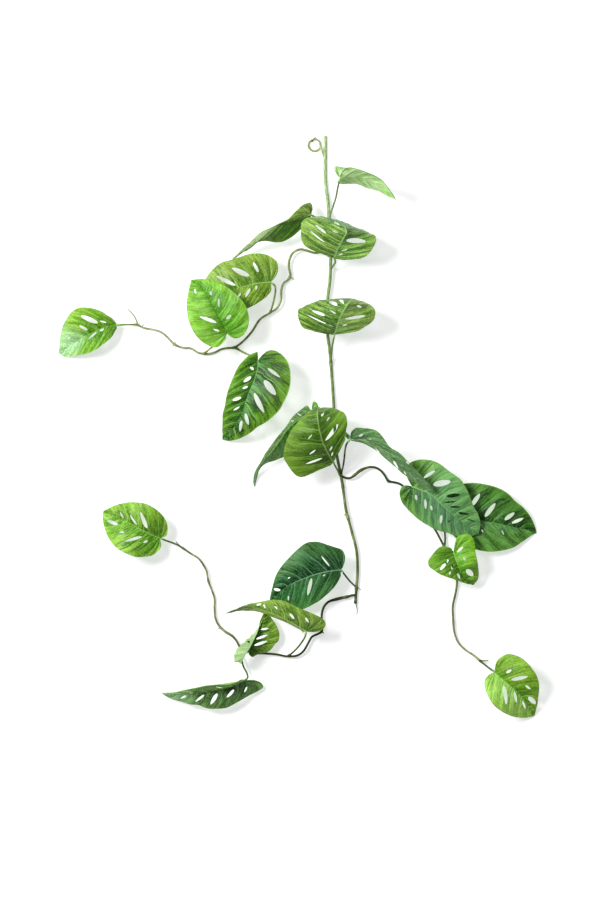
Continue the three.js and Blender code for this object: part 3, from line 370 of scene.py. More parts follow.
# Underside: the bare back of the cloth, matt and paler, with the veins showing through
def undersideMaterial(name, look):
    material, tree = startMaterial(name)
    place = add(tree, "place")
    across = add(tree, "unsigned", add(tree, "firstPart", add(tree, "map", uv_map="blade")))
    phase = add(tree, "secondPart", add(tree, "map", uv_map="veins"))
    swept = add(tree, "timesPlus", add(tree, "power", across, 2), -0.4, phase)
    vein = add(tree, "fade", add(tree, "zigzag", swept, 0.5), 0.02, 0.1, 1.0, 0.0)
    cloth = add(tree, "noise", place, 1 / (look["clothGrain"] * mm), 4.0)
    patches = add(tree, "noise", place, 1 / (look["patches"] * mm), 2.0)
    fibreSpace = add(tree, "combine", add(tree, "times", swept, 8.0), across)
    fibres = add(tree, "noise", fibreSpace, 1.0, 3.0, 0.5, 0.4)
    colour = add(tree, "blend", add(tree, "fade", patches, 0.35, 0.65), look["ground"], look["pale"])
    colour = add(tree, "blend", add(tree, "fade", fibres, 0.36, 0.56, 0.75, 0.0), colour, look["fibre"])
    colour = add(tree, "blend", add(tree, "fade", cloth, 0.5, 0.75, 0.0, 0.4), colour, look["vein"])
    colour = add(tree, "blend", add(tree, "times", vein, 0.7), colour, look["vein"])
    colour = add(tree, "blend", add(tree, "fade", across, 0.94, 1.0, 0.0, 0.6), colour, look["rim"])
    bump = add(tree, "bump", add(tree, "timesPlus", cloth, 0.4, vein), 0.4, look["relief"] * mm)
    shader = add(tree, "surface", colour, look["roughness"], look["specular"], plasticIor, bump)
    add(tree, "output", shader)
    return material


mainStem = {
    "path": [[325.2, 135, 2.1], [325.3, 150, 2.1], [325.5, 180, 2.1], [327.8, 200, 3.5], [329.3, 220, 6],
             [331, 245, 7], [330.6, 262, 7], [330, 280, 6], [327.8, 298, 5], [327.3, 318, 5], [327.8, 335, 5],
             [329.4, 347, 4], [330.8, 362, 2.8], [332.2, 381, 2.4], [333.9, 407, 4], [335, 430, 6],
             [336.5, 452, 6], [339.5, 468, 5], [342.5, 484, 4], [344.5, 500, 4.5], [346, 510, 5],
             [348, 518, 5],
             [350, 525, 5], [352.4, 534, 4.5], [356.8, 552, 4], [357.8, 572, 3], [356.5, 590, 2.6],
             [355.5, 604, 2.3]],
    "radius": [2.4, 1.9],
    "sides": 20,
    "knots": [[330.8, 362, 2.9, 2.9], [340.6, 473.5, 4.8, 3.1], [347.4, 517, 5, 2.7], [357, 588.5, 2.7, 2.6],
              [342.5, 486, 4, 2.5], [329, 219, 6, 2.9], [355.5, 602.5, 2.5, 2.4]],
    "twigs": [[[355.5, 602, 2.4], [357.3, 610, 3], [357, 615, 5]]],
    "twigRadius": 0.9,
    "thorns": [[346.6, 516.5, 6, 343.5, 513.5, 9], [358, 588, 3, 361, 590, 5]],
    "stops": [(0, "#d2e4b8"), (0.12, "#b0ce9c"), (0.3, "#a0ba88"), (0.5, "#8a9e6a"), (0.68, "#82946a"),
              (0.75, "#6a7c46"), (0.83, "#84965e"), (0.91, "#70844a"), (1, "#404e22")],
    "stalkStops": [(0, "#76894f"), (1, "#8eac5a")],
}

shootUpperLeft = {
    "path": [[329.5, 256, 7], [322, 252, 8.5], [315, 252.5, 9], [308, 250.5, 9], [300, 249, 8],
             [293, 252.5, 7],
             [289.3, 260, 6], [289, 267, 5], [290.3, 275, 4], [288, 279.3, 4], [283.5, 283, 4.5],
             [281.3, 290, 6], [280.8, 300, 7], [277, 307.5, 7], [270, 312.5, 6], [260, 319, 5], [252, 331, 4],
             [246, 338, 3], [240, 343.5, 2.5], [234, 347.3, 2.2], [228, 347.8, 2.2], [221, 349, 2.5],
             [215, 352, 3], [209, 353.8, 3], [203, 353.5, 3], [197, 352, 3], [190, 347.9, 3.5],
             [182, 347.3, 4], [174, 344, 4], [167, 337, 3], [161, 332, 2.5], [153, 329.2, 2.5],
             [143, 327.5, 3], [136.5, 324, 4]],
    "radius": [1.7, 1.4],
    "sides": 14,
    "knots": [[290.5, 277, 4, 2.3], [234, 347.3, 2.4, 2.3], [174, 344, 4, 2.0], [204, 353.6, 3, 1.9],
              [138, 325, 4, 1.7], [270, 312.5, 6, 1.9]],
    "twigs": [[[137.5, 324.5, 4], [134.5, 317, 6], [131, 312.5, 8], [127.5, 309, 9]],
              [[291, 277, 4], [293.8, 279, 4.5]]],
    "twigRadius": 1.1,
    "thorns": [[174, 343.5, 5, 175.5, 341, 7], [173.5, 344.5, 4, 171.8, 347.5, 4.5],
               [141.5, 326.5, 4, 144.5, 323, 6], [236, 346.5, 3, 240, 349.5, 3]],
    "stops": [(0, "#7c8c50"), (0.1, "#8c9a62"), (0.28, "#a8b684"), (0.5, "#949c6c"), (0.66, "#8c9660"),
              (0.78, "#aab08e"), (1, "#aab08e")],
    "stalkStops": [(0, "#8a9260"), (1, "#94b060")],
}

shootRight = {
    "path": [[341.5, 476, 4.6], [346, 478, 5.5], [350.5, 478, 6], [355, 475, 7], [360, 471, 7],
             [365.5, 468.2, 6], [371, 467, 5], [376.3, 467.8, 4.5], [381.3, 471, 4], [385.3, 476, 3.5],
             [388.5, 481, 3], [394, 482.3, 3], [400, 484, 4], [407, 490, 6], [414, 500, 8], [422, 513, 9],
             [430, 523, 9], [435.5, 530, 8], [441, 540, 7], [444.5, 547, 6], [450, 560, 5], [456, 573, 4],
             [457.5, 582, 3], [455.6, 595, 3], [453.2, 606, 3], [453.5, 620, 3], [454.8, 633, 3],
             [459, 643.5, 3], [466, 650.5, 3], [473, 655, 3], [480, 661, 4]],
    "radius": [1.6, 1.4],
    "sides": 14,
    "knots": [[354.5, 475.2, 7, 2.5], [360, 471, 7, 2.3, 8], [444.4, 546.6, 6, 2.1], [453.7, 621.5, 3, 1.9],
              [388.5, 481, 3, 2.0], [478, 659.5, 4, 1.8]],
    "twigs": [[[479.5, 661, 4], [484, 661.3, 4.5], [489, 661, 5.5]], [[388.3, 481, 3.2], [388, 483.2, 3.4]]],
    "twigRadius": 1.3,
    "thorns": [[453, 622, 4, 455.5, 625, 5]],
    "stops": [(0, "#303e10"), (0.03, "#3a4814"), (0.07, "#5c6c30"), (0.14, "#40541a"), (0.24, "#2a3e08"),
              (0.4, "#465a20"), (0.55, "#4e602a"), (0.75, "#707e46"), (0.85, "#98a070"), (1, "#bcc29a")],
    "stalkStops": [(0, "#3f4f22"), (1, "#5f7c35")],
}

shootLowerLeft = {
    "path": [[355.5, 595.5, 2.8], [352, 595.8, 3.4], [348, 597, 4], [341, 598.5, 4], [335, 600, 4],
             [329, 602, 4], [324.5, 606.5, 4], [322, 614, 4], [322, 625, 5], [322, 631.5, 5],
             [318, 634.3, 5], [312, 637.3, 5], [308, 644, 5], [303, 652, 5], [297, 656, 5], [287, 656.8, 4],
             [277, 655, 4], [265, 654, 4], [255, 653.7, 4], [247, 651, 4.5], [240, 647.5, 5], [236, 641, 5],
             [231.5, 636, 5], [225, 632, 5], [219, 626.5, 4], [215.3, 619, 4], [214.3, 608, 3],
             [214.3, 599, 3], [211.5, 590.5, 3], [208, 581, 4], [206.5, 572, 5], [203, 565, 5],
             [198, 558.5, 5], [190, 553.5, 4], [182, 548, 3.5]],
    "radius": [1.6, 1.4],
    "sides": 14,
    "knots": [[347, 597.2, 4, 2.6], [338, 599.2, 4, 2.4, 11], [322.3, 633, 5, 2], [228, 634, 5, 1.9, 10],
              [221.5, 629.3, 4.5, 2], [208, 581.5, 4, 1.8], [183.5, 549, 3.6, 1.9], [240.5, 648, 5, 2.1]],
    "twigs": [[[183, 548.7, 3.6], [179, 545.7, 4.5], [175.5, 541.5, 6]], [[322.3, 632, 5],
              [323.8, 634, 5.4]]],
    "twigRadius": 1.1,
    "thorns": [[221, 628.5, 5, 217.5, 629, 6]],
    "stops": [(0, "#3a4618"), (0.04, "#56662c"), (0.1, "#2a3a08"), (0.25, "#36460e"), (0.42, "#3c4c14"),
              (0.5, "#485826"), (0.6, "#747e52"), (0.7, "#90966c"), (0.84, "#8c9468"), (0.91, "#6c7648"),
              (1, "#7c8658")],
    "stalkStops": [(0, "#4a5630"), (1, "#6a8a3c")],
}

# fibres are 0.8 mm apart round the main stem; dusting, specks and relief are in mm
stemLook = {"deep": "#94a070", "pale": "#c2d09c", "paleness": 0.22, "fibresRound": 16, "dusting": 12,
            "specks": 1.5, "relief": 0.3, "roughness": 0.55, "specular": 0.15}
# Bark: uneven swelling every 14 mm and three lobes that turn along the stem. A node's swelling reaches
# 2.4 mm to each side unless it says otherwise, and has a raised scar 2.6 mm past its middle
bark = {"swell": 0.07, "swellPitch": 14, "lobes": 3, "lobe": 0.035, "lobeTurn": 30, "node": 2.4,
        "nodeShare": 0.9, "scar": 0.22, "scarPast": 2.6, "scarWidth": 0.8, "crease": 50}
# Stalks widen by 45% at their foot and end 0.3 mm before the leaf's sleeve
stalk = {"radius": 1.3, "foot": 0.45, "footReach": 3.5, "uneven": 0.04, "pitch": 8, "clear": 0.3, "sides": 10}
twig = {"uneven": 0.06, "pitch": 5, "step": 1.2, "taper": 0.6}
thornSize = {"foot": 0.9, "point": 0.25, "sides": 8}


def stemRadius(stem, path):
    length = path["reach"][-1]
    start, end = (radius * mm for radius in stem["radius"])
    knots = []
    for knot in stem["knots"]:
        half = knot[4] if len(knot) > 4 else bark["node"]
        knots.append((nearestShare(path, at(knot)) * length, knot[3] * mm, half * mm))

    def radiusAt(far, turn):
        radius = start + (end - start) * far / length
        radius *= 1 + bark["swell"] * noise.noise(Vector((far / (bark["swellPitch"] * mm), 3.1, 0)))
        radius *= 1 + bark["lobe"] * math.cos(bark["lobes"] * turn + far / (bark["lobeTurn"] * mm))
        for middle, swollen, half in knots:
            off = far - middle
            radius += (swollen - radius) * math.exp(-(off / half) ** 2) * bark["nodeShare"]
            past = (off - bark["scarPast"] * mm) / (bark["scarWidth"] * mm)
            radius += bark["scar"] * mm * math.exp(-past ** 2)
        return radius
    return radiusAt


def taperedPart(name, points, start, end, stops, sides=10):
    path = smoothPath([at(point) for point in points])
    length = path["reach"][-1]

    def radiusAt(far, turn):
        uneven = noise.noise(Vector((far / (twig["pitch"] * mm), points[0][0], 0)))
        return (start + (end - start) * far / length) * mm * (1 + twig["uneven"] * uneven)
    return wrapRound(name, path, radiusAt, lambda share: tintBetween(stops, share), sides, twig["step"] * mm)


def makeStalk(points, sleeveLength, stops):
    whole = smoothPath([at(point) for point in points])
    path = partOf(whole, 0, 1 - (sleeveLength + stalk["clear"]) * mm / whole["reach"][-1])
    reach = path["reach"][-1]

    def radiusAt(far, turn):
        foot = math.exp(-(far / (stalk["footReach"] * mm)) ** 2)
        uneven = noise.noise(Vector((far / (stalk["pitch"] * mm), reach / mm, 0)))
        return stalk["radius"] * mm * (1 + stalk["foot"] * foot + stalk["uneven"] * uneven)
    return wrapRound("stalk", path, radiusAt, lambda share: tintBetween(stops, share), stalk["sides"])


def makeStem(name, node, stem, stalks):
    path = smoothPath([at(point) for point in stem["path"]])
    parts = [wrapRound(name, path, stemRadius(stem, path), lambda share: tintBetween(stem["stops"], share),
                       stem["sides"])]
    endStops = stem["stops"][-2:]
    for points in stem["twigs"]:
        parts.append(taperedPart("twig", points, stem["twigRadius"], stem["twigRadius"] * twig["taper"],
                                 endStops))
    for thorn in stem["thorns"]:
        base, point = thorn[:3], thorn[3:]
        middle = [(p + q) / 2 for p, q in zip(base, point)]
        parts.append(taperedPart("thorn", [base, middle, point], thornSize["foot"], thornSize["point"],
                                 endStops, thornSize["sides"]))
    for points, sleeveLength, stops in stalks:
        parts.append(makeStalk(points, sleeveLength, stops or stem["stalkStops"]))
    piece = joinPieces(parts, name)
    layFlat(piece)
    piece.data.materials.append(stemFinish)
    smoothShade(piece, bark["crease"])
    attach(piece, "root")
    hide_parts(node)
    print("stem made:", name, len(piece.data.polygons), "faces")


# Sizes in mm. A leaf's rows fan out from the notch over the first 0.3 of its edge
blade = {"columns": 26, "rows": 84, "thickness": 0.8, "spread": 1.35, "fan": 0.3, "fanPower": 1.1,
         "lowest": 0.5, "holeSides": 22, "holeDepth": 5, "holeBluntness": 1.15, "holeTaper": 0.12,
         "sideGap": 40, "seedStep": 1.7, "crease": 42}
sleeve = {"length": 5, "radius": 1.7, "narrowing": 0.8, "overlap": 4, "sides": 12, "step": 1,
          "mapAlong": 0.05}
# Rows of holes nearer than this are one, and the pitch of the veins lies between least and most
veins = {"sameRow": 0.035, "pitch": 0.1, "least": 0.07, "most": 0.13}
# A blade's relief: how sharp the quilting is, where it dies out, half the rib's width in mm, and the waves
relief = {"sharpness": 0.7, "middle": 0.6, "fanReach": 0.5, "reach": 0.25, "rimFrom": 0.75, "rimFlat": 0.75,
          "ribHalf": 1.5, "ribFading": 0.6, "waveRate": 2.4, "waveEnd": 0.2, "uneven": 0.25,
          "unevenPitch": (9, 5)}

undersideLook = {"ground": "#7fb45c", "pale": "#a8d888", "fibre": "#5f9440", "vein": "#a9d68c",
                 "rim": "#7aa77a", "clothGrain": 3, "patches": 18, "relief": 0.4, "roughness": 0.6,
                 "specular": 0.3}

# What all leaves have unless their kind or their own line says otherwise
leafLook = {"deep": "#a0b062", "patchShade": 0.7, "sheenTone": "#c2dc80", "sheen": [0.5, 0.4], "band": 0.25,
            "ribShade": 0.4, "lines": 0.52, "lineTone": "#a8b080", "mottle": 0.32, "vein": "#a5cf7a",
            "veinStrength": 0.42, "veinWidth": 0.06, "sweep": 0.45, "edge": "#7cb030", "edgeStrength": 0.3,
            "bluishNearRib": [0.0, 0.0], "bluishTone": "#57985a", "rib": "#9cc878", "ribWidth": 0.022,
            "ribStrength": 0.6, "ribLift": 0.35, "quilt": 1.4, "wave": 0.5, "tip": "#b4dcae",
            "tipFrom": 0.6, "tipStrength": 0.0, "rim": "#5f8238", "rimStrength": 0.3,
            "cut": "#a8cc7c", "emboss": 1.0, "relief": 0.5, "roughness": 0.45, "specular": 0.2}
kindLooks = {
    "leaf_pale": {"sheenTone": "#c8e6a8", "deep": "#b4c494"},
    "leaf_bright": {"sheenTone": "#c0e266", "sheen": [0.5, 0.5], "deep": "#8cae3c", "patchShade": 0.5,
                    "edge": "#8cc82c"},
    "leaf_olive": {"sheenTone": "#b4cc62", "sheen": [0.45, 0.35], "deep": "#98a44e", "edge": "#86ac30"},
    "leaf_dark": {"sheenTone": "#8cb83c", "sheen": [0.35, 0.35], "deep": "#a0aa74", "vein": "#6fa650",
                  "cut": "#6f9a4c", "edge": "#5f9418", "edgeStrength": 0.5, "lines": 0.65, "mottle": 0.4,
                  "band": 0.6, "veinStrength": 0.5, "rim": "#8ab45c", "rimStrength": 0.5},
    "leaf_blue": {"sheenTone": "#8cc47c", "sheen": [0.35, 0.3], "deep": "#a0b08c", "vein": "#86b87f",
                  "cut": "#7aa46c", "edge": "#5f9c40", "lines": 0.6, "mottle": 0.45, "band": 0.5,
                  "veinStrength": 0.5},
}

# A leaf's two side tones partly paint light and shade: the half towards the lamps is lighter
leaves = {
    "leaf_01": {
        "slot": "leaf_pale", "flipped": True, "arch": 0,
        "look": {"tones": ["#6f9f52", "#6f9f52"]},
        # its bare underside is painted paler than the others: painted light
        "under": {"ground": "#9ed06c", "pale": "#ccf0a8", "fibre": "#7cb44c", "vein": "#ccecac"},
        "stalkStops": [(0, "#a2b284"), (1, "#7e8e58")],
        "stalk": [[329.3, 219, 7], [331, 212, 11], [333.5, 205, 19], [336, 197, 30], [337.5, 189, 39],
                  [338.8, 183.5, 45], [340, 179, 50]],
        "rib": [[340, 179, 50], [352, 177.5, 54], [366, 180, 55], [380, 187, 52], [395.5, 199.8, 44]],
        "sides": [
            [[336, 174, 60], [334, 168.5, 69], [337, 167.3, 76], [342, 168.7, 81], [350, 169.3, 85],
             [358, 171, 85], [368, 174, 81], [380, 180.5, 72], [390, 191, 57]],
            [[338, 181.5, 44], [337.5, 183, 36], [341, 183.7, 28], [352, 183.5, 22], [359, 184.5, 20],
             [366, 187, 21], [375, 190, 24], [381, 192.3, 29], [388, 196.3, 36]]],
        "holes": [[0, 0.25, 0.35, 0.3, 0.8, 1.2], [0, 0.48, 0.3, 0.54, 0.8, 1.2],
                  [1, 0.3, 0.35, 0.35, 0.8, 1.2], [1, 0.5, 0.3, 0.56, 0.8, 1.2]]},
    "leaf_02": {
        "slot": "leaf_dark", "slope": [-1.1, -1.1], "arch": 2,
        "look": {"tones": ["#4f5b28", "#3e7801"], "rib": "#86b058", "sheen": [0.5, 0.2], "tip": "#94a87c",
                 "tipFrom": 0.5, "tipStrength": 0.95},
        "stalk": [[329.8, 228, 6.5], [325.5, 224, 12], [318, 218.5, 23], [311, 215, 33]],
        "rib": [[311, 215, 33], [303, 217.3, 38], [293, 220, 43], [283, 223.5, 45], [273, 228.7, 43.5],
                [268, 232.3, 41], [262, 237.4, 36.5], [255, 242.2, 29], [246, 247.8, 19], [231.5, 260, 8]],
        "sides": [
            [[312.5, 209], [312, 204.5], [310, 202], [303, 205], [295, 212.3], [288, 219], [283, 221.8],
             [278, 224.3], [273, 227.3], [267, 230], [261, 232.5], [254, 237.9], [248, 243.4], [243, 248.3],
             [238, 253.2]],
            [[309.5, 219], [307, 225], [301, 229], [296, 233], [290, 238], [284, 241], [278, 241.8],
             [272, 241.7], [264, 240.8], [259, 241.6], [254.5, 245], [249.5, 248.2], [243.5, 251.6],
             [237.5, 255.8]]],
        "holes": [[303, 209, 301.3, 212.5, 2], [290.8, 223.5, 290.3, 228.8, 1.6],
                  [281.5, 227, 280, 231, 1.2], [252.6, 242, 250.8, 243.8, 1.4]]},
    "leaf_03": {
        "slot": "leaf_olive", "arch": 3,
        "look": {"tones": ["#608b2d", "#77ae4f"], "quilt": 1.8, "band": 0.7, "deep": "#789c48", "patchShade": 1.0,
                 "sheen": [0.65, 0.4], "sheenTone": "#bce078", "lines": 0.8, "tip": "#5f9a7c", "tipFrom": 0.66,
                 "tipStrength": 0.75},
        "stalk": [[331, 268, 7], [333.5, 265, 14], [335.3, 261.5, 23], [334, 258, 31]],
        "rib": [[334, 258, 31], [338, 249, 48], [343, 240, 65], [346.5, 232.5, 75], [345, 229.5, 73],
                [343, 226.5, 62], [341, 224, 46], [339.3, 221.8, 30], [338, 220, 16]],
        "sides": [
            [[331, 257.5, 33], [326, 255, 35], [318, 251.5, 38], [306.5, 247.5, 42], [302, 241, 45],
             [301, 232, 48], [301.5, 223, 48], [307, 218.5, 42], [318, 216.7, 33], [326, 217.5, 26],
             [333, 219, 20]],
            [[337.5, 259, 32], [350, 259.5, 34], [360, 258.5, 38], [368, 254.5, 42], [373, 248, 45],
             [376, 240, 46], [374.5, 236, 42], [371, 233.8, 36], [365, 231, 28], [356, 227.5, 22],
             [348, 223.6, 18]]],
        "holes": [[345.9, 241.6, 365.5, 241.3, 5.4], [341, 251, 347.4, 249, 2],
                  [338.3, 255, 342.6, 253.8, 1.6], [326.7, 235, 315.3, 226, 2.6],
                  [325, 242.8, 309.6, 230, 2.2], [337.2, 233.6, 332.2, 230.4, 1.8],
                  [339.4, 226.8, 329.2, 219.3, 3.6]]},
    "leaf_04": {
        "slot": "leaf_olive", "slope": [0.12, 0.1], "arch": 3,
        "look": {"tones": ["#5f8a2a", "#658f0c"], "rib": "#a6cc7c", "ribLift": 0.5, "sheen": [0.5, 0.2]},
        "stalk": [[269.5, 313, 6], [272, 307, 9], [274, 299, 11], [275.4, 291, 13], [274.8, 285.5, 15.5],
                  [270, 282, 20]],
        "rib": [[270, 282, 20], [258, 283, 24], [245, 286, 25], [233, 289.5, 22], [219, 290, 16],
                [205, 286.5, 10]],
        "sides": [
            [[272.5, 279], [276.3, 275], [278, 268], [276.2, 261], [269.5, 256], [262, 253.7], [250, 254],
             [240, 257], [230, 260], [221, 262.5], [213.3, 268.2], [208.2, 274.5], [205, 280]],
            [[270.7, 286], [271.3, 289.5], [269, 293.5], [263.6, 299], [257.6, 303], [250.4, 307],
             [243, 310.4], [237, 311.5], [230, 307.5], [223.5, 299.5], [215, 291.5]]],
        "holes": [[258.8, 272.3, 252.2, 262.3, 3.2], [248.2, 276.2, 232.8, 267.3, 5.2],
                  [234.9, 285.5, 216, 276, 4], [257, 285.6, 256.3, 290.4, 2.4],
                  [249.7, 288.3, 245, 297.3, 3], [241, 293.3, 238.4, 296.8, 2]]},
    "leaf_05": {
        "slot": "leaf_bright", "slope": [0.22, 0.22], "arch": 3,
        "look": {"tones": ["#4e9006", "#62a01e"], "vein": "#8fd05a", "rib": "#2c5f10", "ribLift": -0.45,
                 "sheen": [0.2, 0.5], "sheenTone": "#b4ea78", "rim": "#6a5a60", "veinStrength": 0.3, "lines": 0.4,
                 "mottle": 0.2},
        "stalk": [[204, 353, 4], [208, 350, 8], [213, 346, 14], [219, 341, 22], [224, 337, 30],
                  [226.5, 332.5, 38]],
        "rib": [[226.5, 332.5, 38], [220, 320, 42], [214, 309, 42], [209, 299, 38], [202, 289, 30],
                [191.3, 279.6, 20]],
        "sides": [
            [[230, 336.3], [235, 338.5], [242, 336.3], [246.5, 331], [249, 322.5], [248.5, 314.5],
             [245.2, 305], [240, 298.2], [233.6, 292.2], [225.4, 286.1], [216.3, 282], [208, 279.8],
             [199.5, 279]],
            [[226, 338.5], [222, 344], [216, 347.6], [207.5, 345.2], [199, 339], [193, 330.7],
             [188.8, 320.5], [187, 308], [187.6, 297], [189.2, 287.5]]],
        "holes": [[210.2, 291.2, 212.2, 296, 3], [219.7, 299.2, 218.8, 306.8, 2.2],
                  [231.3, 314.9, 226, 319.3, 3], [216.4, 323.2, 200, 317.5, 3.4],
                  [219.5, 331.2, 213.5, 329.1, 2], [194.8, 289.5, 195.8, 293.3, 2]]},
    "leaf_06": {
        "slot": "leaf_bright", "slope": [0.2, 0.15], "arch": 3,
        "look": {"tones": ["#509007", "#468d02"], "vein": "#8fd05a", "rib": "#8fc85a", "tipStrength": 0.8},
        "stalk": [[136.8, 324.2, 4], [129, 324.3, 8], [122, 324.5, 12], [116, 325, 14]],
        "rib": [[116, 325, 14], [105, 327, 19], [95, 331, 21], [80, 339, 17], [68, 346.5, 9],
                [58, 352.5, 0.5]],
        "sides": [
            [[114.5, 321.5], [111.6, 318.3], [107, 315.2], [102.8, 312.3], [98.3, 310], [92, 308.4],
             [81, 307.4], [75.5, 309], [70.2, 313.3], [66, 319.6], [62, 327.8], [60, 336], [59, 343.8]],
            [[116.5, 328], [113.6, 333], [109.8, 338], [104.7, 343], [96.4, 349], [88.2, 353], [79, 354.8],
             [69, 356.6], [63, 356]]],
        "holes": [[97.3, 323.3, 80.8, 315, 4.8], [87, 330, 79, 324.8, 2.8],
                  [99.2, 331.2, 103.3, 328.8, 2.2], [96, 331.8, 88, 340, 2.4],
                  [106, 322.8, 99.5, 321.3, 1.8], [70.5, 337.5, 67.8, 336, 1.6]]},
    "leaf_07": {
        "slot": "leaf_dark", "slope": [0.25, 0.25], "arch": 4,
        "look": {"tones": ["#478419", "#1a4902"], "vein": "#7cb45c", "rib": "#80b064", "ribLift": 0.2,
                 "quilt": 1.8, "bluishNearRib": [0.35, 0.6], "ribShade": 0.7, "deep": "#92a058", "sheenTone": "#80b83c",
                 "edge": "#6c9e20", "band": 0.8, "patchShade": 0.9, "mottle": 0.3},
        "stalk": [[234, 347.3, 3], [240, 350.5, 9], [247, 354, 15], [253.5, 357.5, 21], [258, 361, 26]],
        "rib": [[258, 361, 26], [257, 370, 30], [254, 380, 33], [250, 390, 34], [246, 400, 33],
                [243, 410, 29], [238, 421, 22], [230, 432, 12], [222.3, 439.5, 1]],
        "sides": [
            [[257.5, 351.5], [249.7, 354.9], [243.4, 360.4], [237.3, 368.5], [233.3, 376.7], [229.3, 386.8],
             [226.3, 396.8], [224.8, 405.9], [222.8, 413.9], [222.2, 425], [222.3, 434]],
            [[262, 356], [266, 351.7], [271, 350], [276.4, 351], [282.7, 355.2], [287, 360.5],
             [289.6, 367.6], [290.7, 376], [290.2, 385.3], [287.6, 394.6], [284.1, 401.7], [280, 409.4],
             [273.8, 416], [265.7, 422.5], [257.6, 427], [251.4, 432], [244.3, 436.3], [236.2, 439.6],
             [229, 440.8]]],
        "holes": [[253.6, 369.3, 249.7, 367.7, 3], [251.3, 377.4, 243, 381.3, 3.4],
                  [247.4, 386, 242.8, 388.6, 2.4], [241.3, 397.1, 232.4, 401.1, 3.2],
                  [239.3, 407.1, 233, 409.1, 2.2], [267.8, 369.1, 280.2, 377.1, 3.2],
                  [264.1, 381, 275.2, 396.6, 6.4], [254.1, 393.6, 265, 411.9, 5],
                  [245.8, 413, 249.7, 424.1, 4.4], [242.4, 420, 239.1, 432.1, 3.8]]},
    "leaf_08": {
        "slot": "leaf_olive", "arch": 3,
        "look": {"tones": ["#4d781f", "#a7cc6a"], "quilt": 1.8, "band": 0.7, "deep": "#789c48", "patchShade": 1.0,
                 "sheen": [0.6, 0.4], "sheenTone": "#b0d870", "lines": 0.8},
        "stalk": [[330.8, 362, 4], [331.5, 354, 11], [332.3, 346, 20], [333.5, 339.5, 28],
                  [334.5, 334.5, 34]],
        "rib": [[334.5, 334.5, 34], [337, 327, 50], [340, 318, 65], [345, 309, 77], [348.5, 304, 80],
                [350.5, 301, 73], [351.5, 299.5, 59], [352, 299, 42], [352.5, 299, 27], [353, 299.2, 14]],
        "sides": [
            [[331, 334.3, 35], [325, 333, 37], [312, 330.8, 41], [303, 327.5, 44], [299, 320.5, 47],
             [297.8, 315, 50], [298.5, 309.7, 51], [302, 308.3, 50], [308, 304.7, 45], [316.5, 301.5, 38],
             [324, 299.9, 30], [338, 299, 20], [346, 299, 16]],
            [[338, 333.3, 35], [350, 332, 38], [356.3, 331.2, 40], [364, 327.3, 43], [371.7, 322.3, 46],
             [375, 314, 49], [374.3, 309.5, 48], [371.8, 306, 43], [367, 303.5, 37], [361.5, 301.6, 28],
             [356, 300.2, 20]]],
        "holes": [[345.1, 318.4, 364.9, 315.2, 4.8], [356, 306.7, 361.6, 307, 2.2],
                  [341.9, 326.2, 347.3, 324.2, 2], [337.4, 307.2, 326.7, 301.2, 4],
                  [343.6, 305.8, 338.2, 299.8, 3], [336.3, 313.5, 329.6, 310.2, 1.8],
                  [325.5, 316, 312.8, 310.6, 2.8], [332.8, 327.2, 306.8, 314, 2]]},
    "leaf_09": {
        "slot": "leaf_blue", "slope": [-1.3, 0], "arch": 1,
        "look": {"tones": ["#576b30", "#5b9002"], "rib": "#79ad6a", "tip": "#5c6e50", "tipFrom": 0.72,
                 "tipStrength": 0.8},
        "stalk": [[334, 408, 5], [328, 410.5, 7], [320, 413.5, 11], [314.5, 414.5, 18], [312, 413, 24]],
        "rib": [[312, 413, 24], [303, 417, 30], [294, 423, 33], [287, 430, 34], [281, 439, 33],
                [273, 450, 29], [265, 459, 22], [259.5, 467, 14], [255.8, 476, 6], [254.5, 487, 0.6]],
        "sides": [
            [[309.5, 408.5, 25], [307.3, 405.4, 24], [304.3, 407, 22], [298, 412], [291, 419.3],
             [285, 427.8], [278.5, 435.7], [272, 443.7], [266.5, 452.2], [261.5, 460.4], [257.6, 467],
             [254.4, 474], [253.2, 481]],
            [[312.5, 408, 27], [313.5, 401.5, 29], [317, 403, 29], [318.5, 409, 26], [316, 420, 20],
             [310, 432, 15], [303, 443, 11], [295, 450, 10], [285, 456.5, 9], [275, 460, 10],
             [267, 462.5, 11], [261.5, 466.5, 11], [257.5, 475, 5]]],
        "holes": [[301.5, 416, 297, 413, 1.8], [294, 421.5, 290.5, 420, 1.8], [298, 428, 302, 436, 3],
                  [290, 441, 291, 450, 3]]},
    "leaf_10": {
        "slot": "leaf_olive", "arch": 3,
        "look": {"tones": ["#3b6703", "#497d07"], "rib": "#98ba68", "ribLift": 0.6, "quilt": 1.6,
                 "patchShade": 0.4, "sheen": [0.3, 0.25], "sheenTone": "#98bc58", "vein": "#90b45c",
                 "veinStrength": 0.5, "lines": 0.38, "mottle": 0.2},
        "stalk": [[340, 475, 7], [337.5, 470, 13], [335, 465.5, 22], [333, 461.5, 29]],
        "rib": [[333, 461.5, 29], [329, 455, 40], [325, 447, 52], [322, 440, 60], [319.5, 430, 68],
                [318, 421, 71], [317.5, 414, 67], [317.5, 410.5, 56], [318, 408.8, 42], [318.5, 408, 28]],
        "sides": [
            [[331, 465, 30], [325, 467.5, 32], [316, 471.3, 34], [308, 475.2, 36], [301, 477, 38],
             [296, 475.3, 40], [291, 470, 42], [287, 464, 44], [283.5, 457, 46], [284.5, 448, 48],
             [287, 440, 50], [292, 430, 52], [298, 422, 52], [306, 414, 48], [312, 410, 41],
             [316, 408.5, 34]],
            [[335, 459.5, 31], [336, 456, 33], [337.8, 452, 36], [341.3, 447, 40], [344.6, 440, 44],
             [346, 431, 47], [347, 423.5, 48], [345.5, 415.5, 46], [341, 411, 41], [333, 408.5, 36],
             [325, 407.7, 31]]],
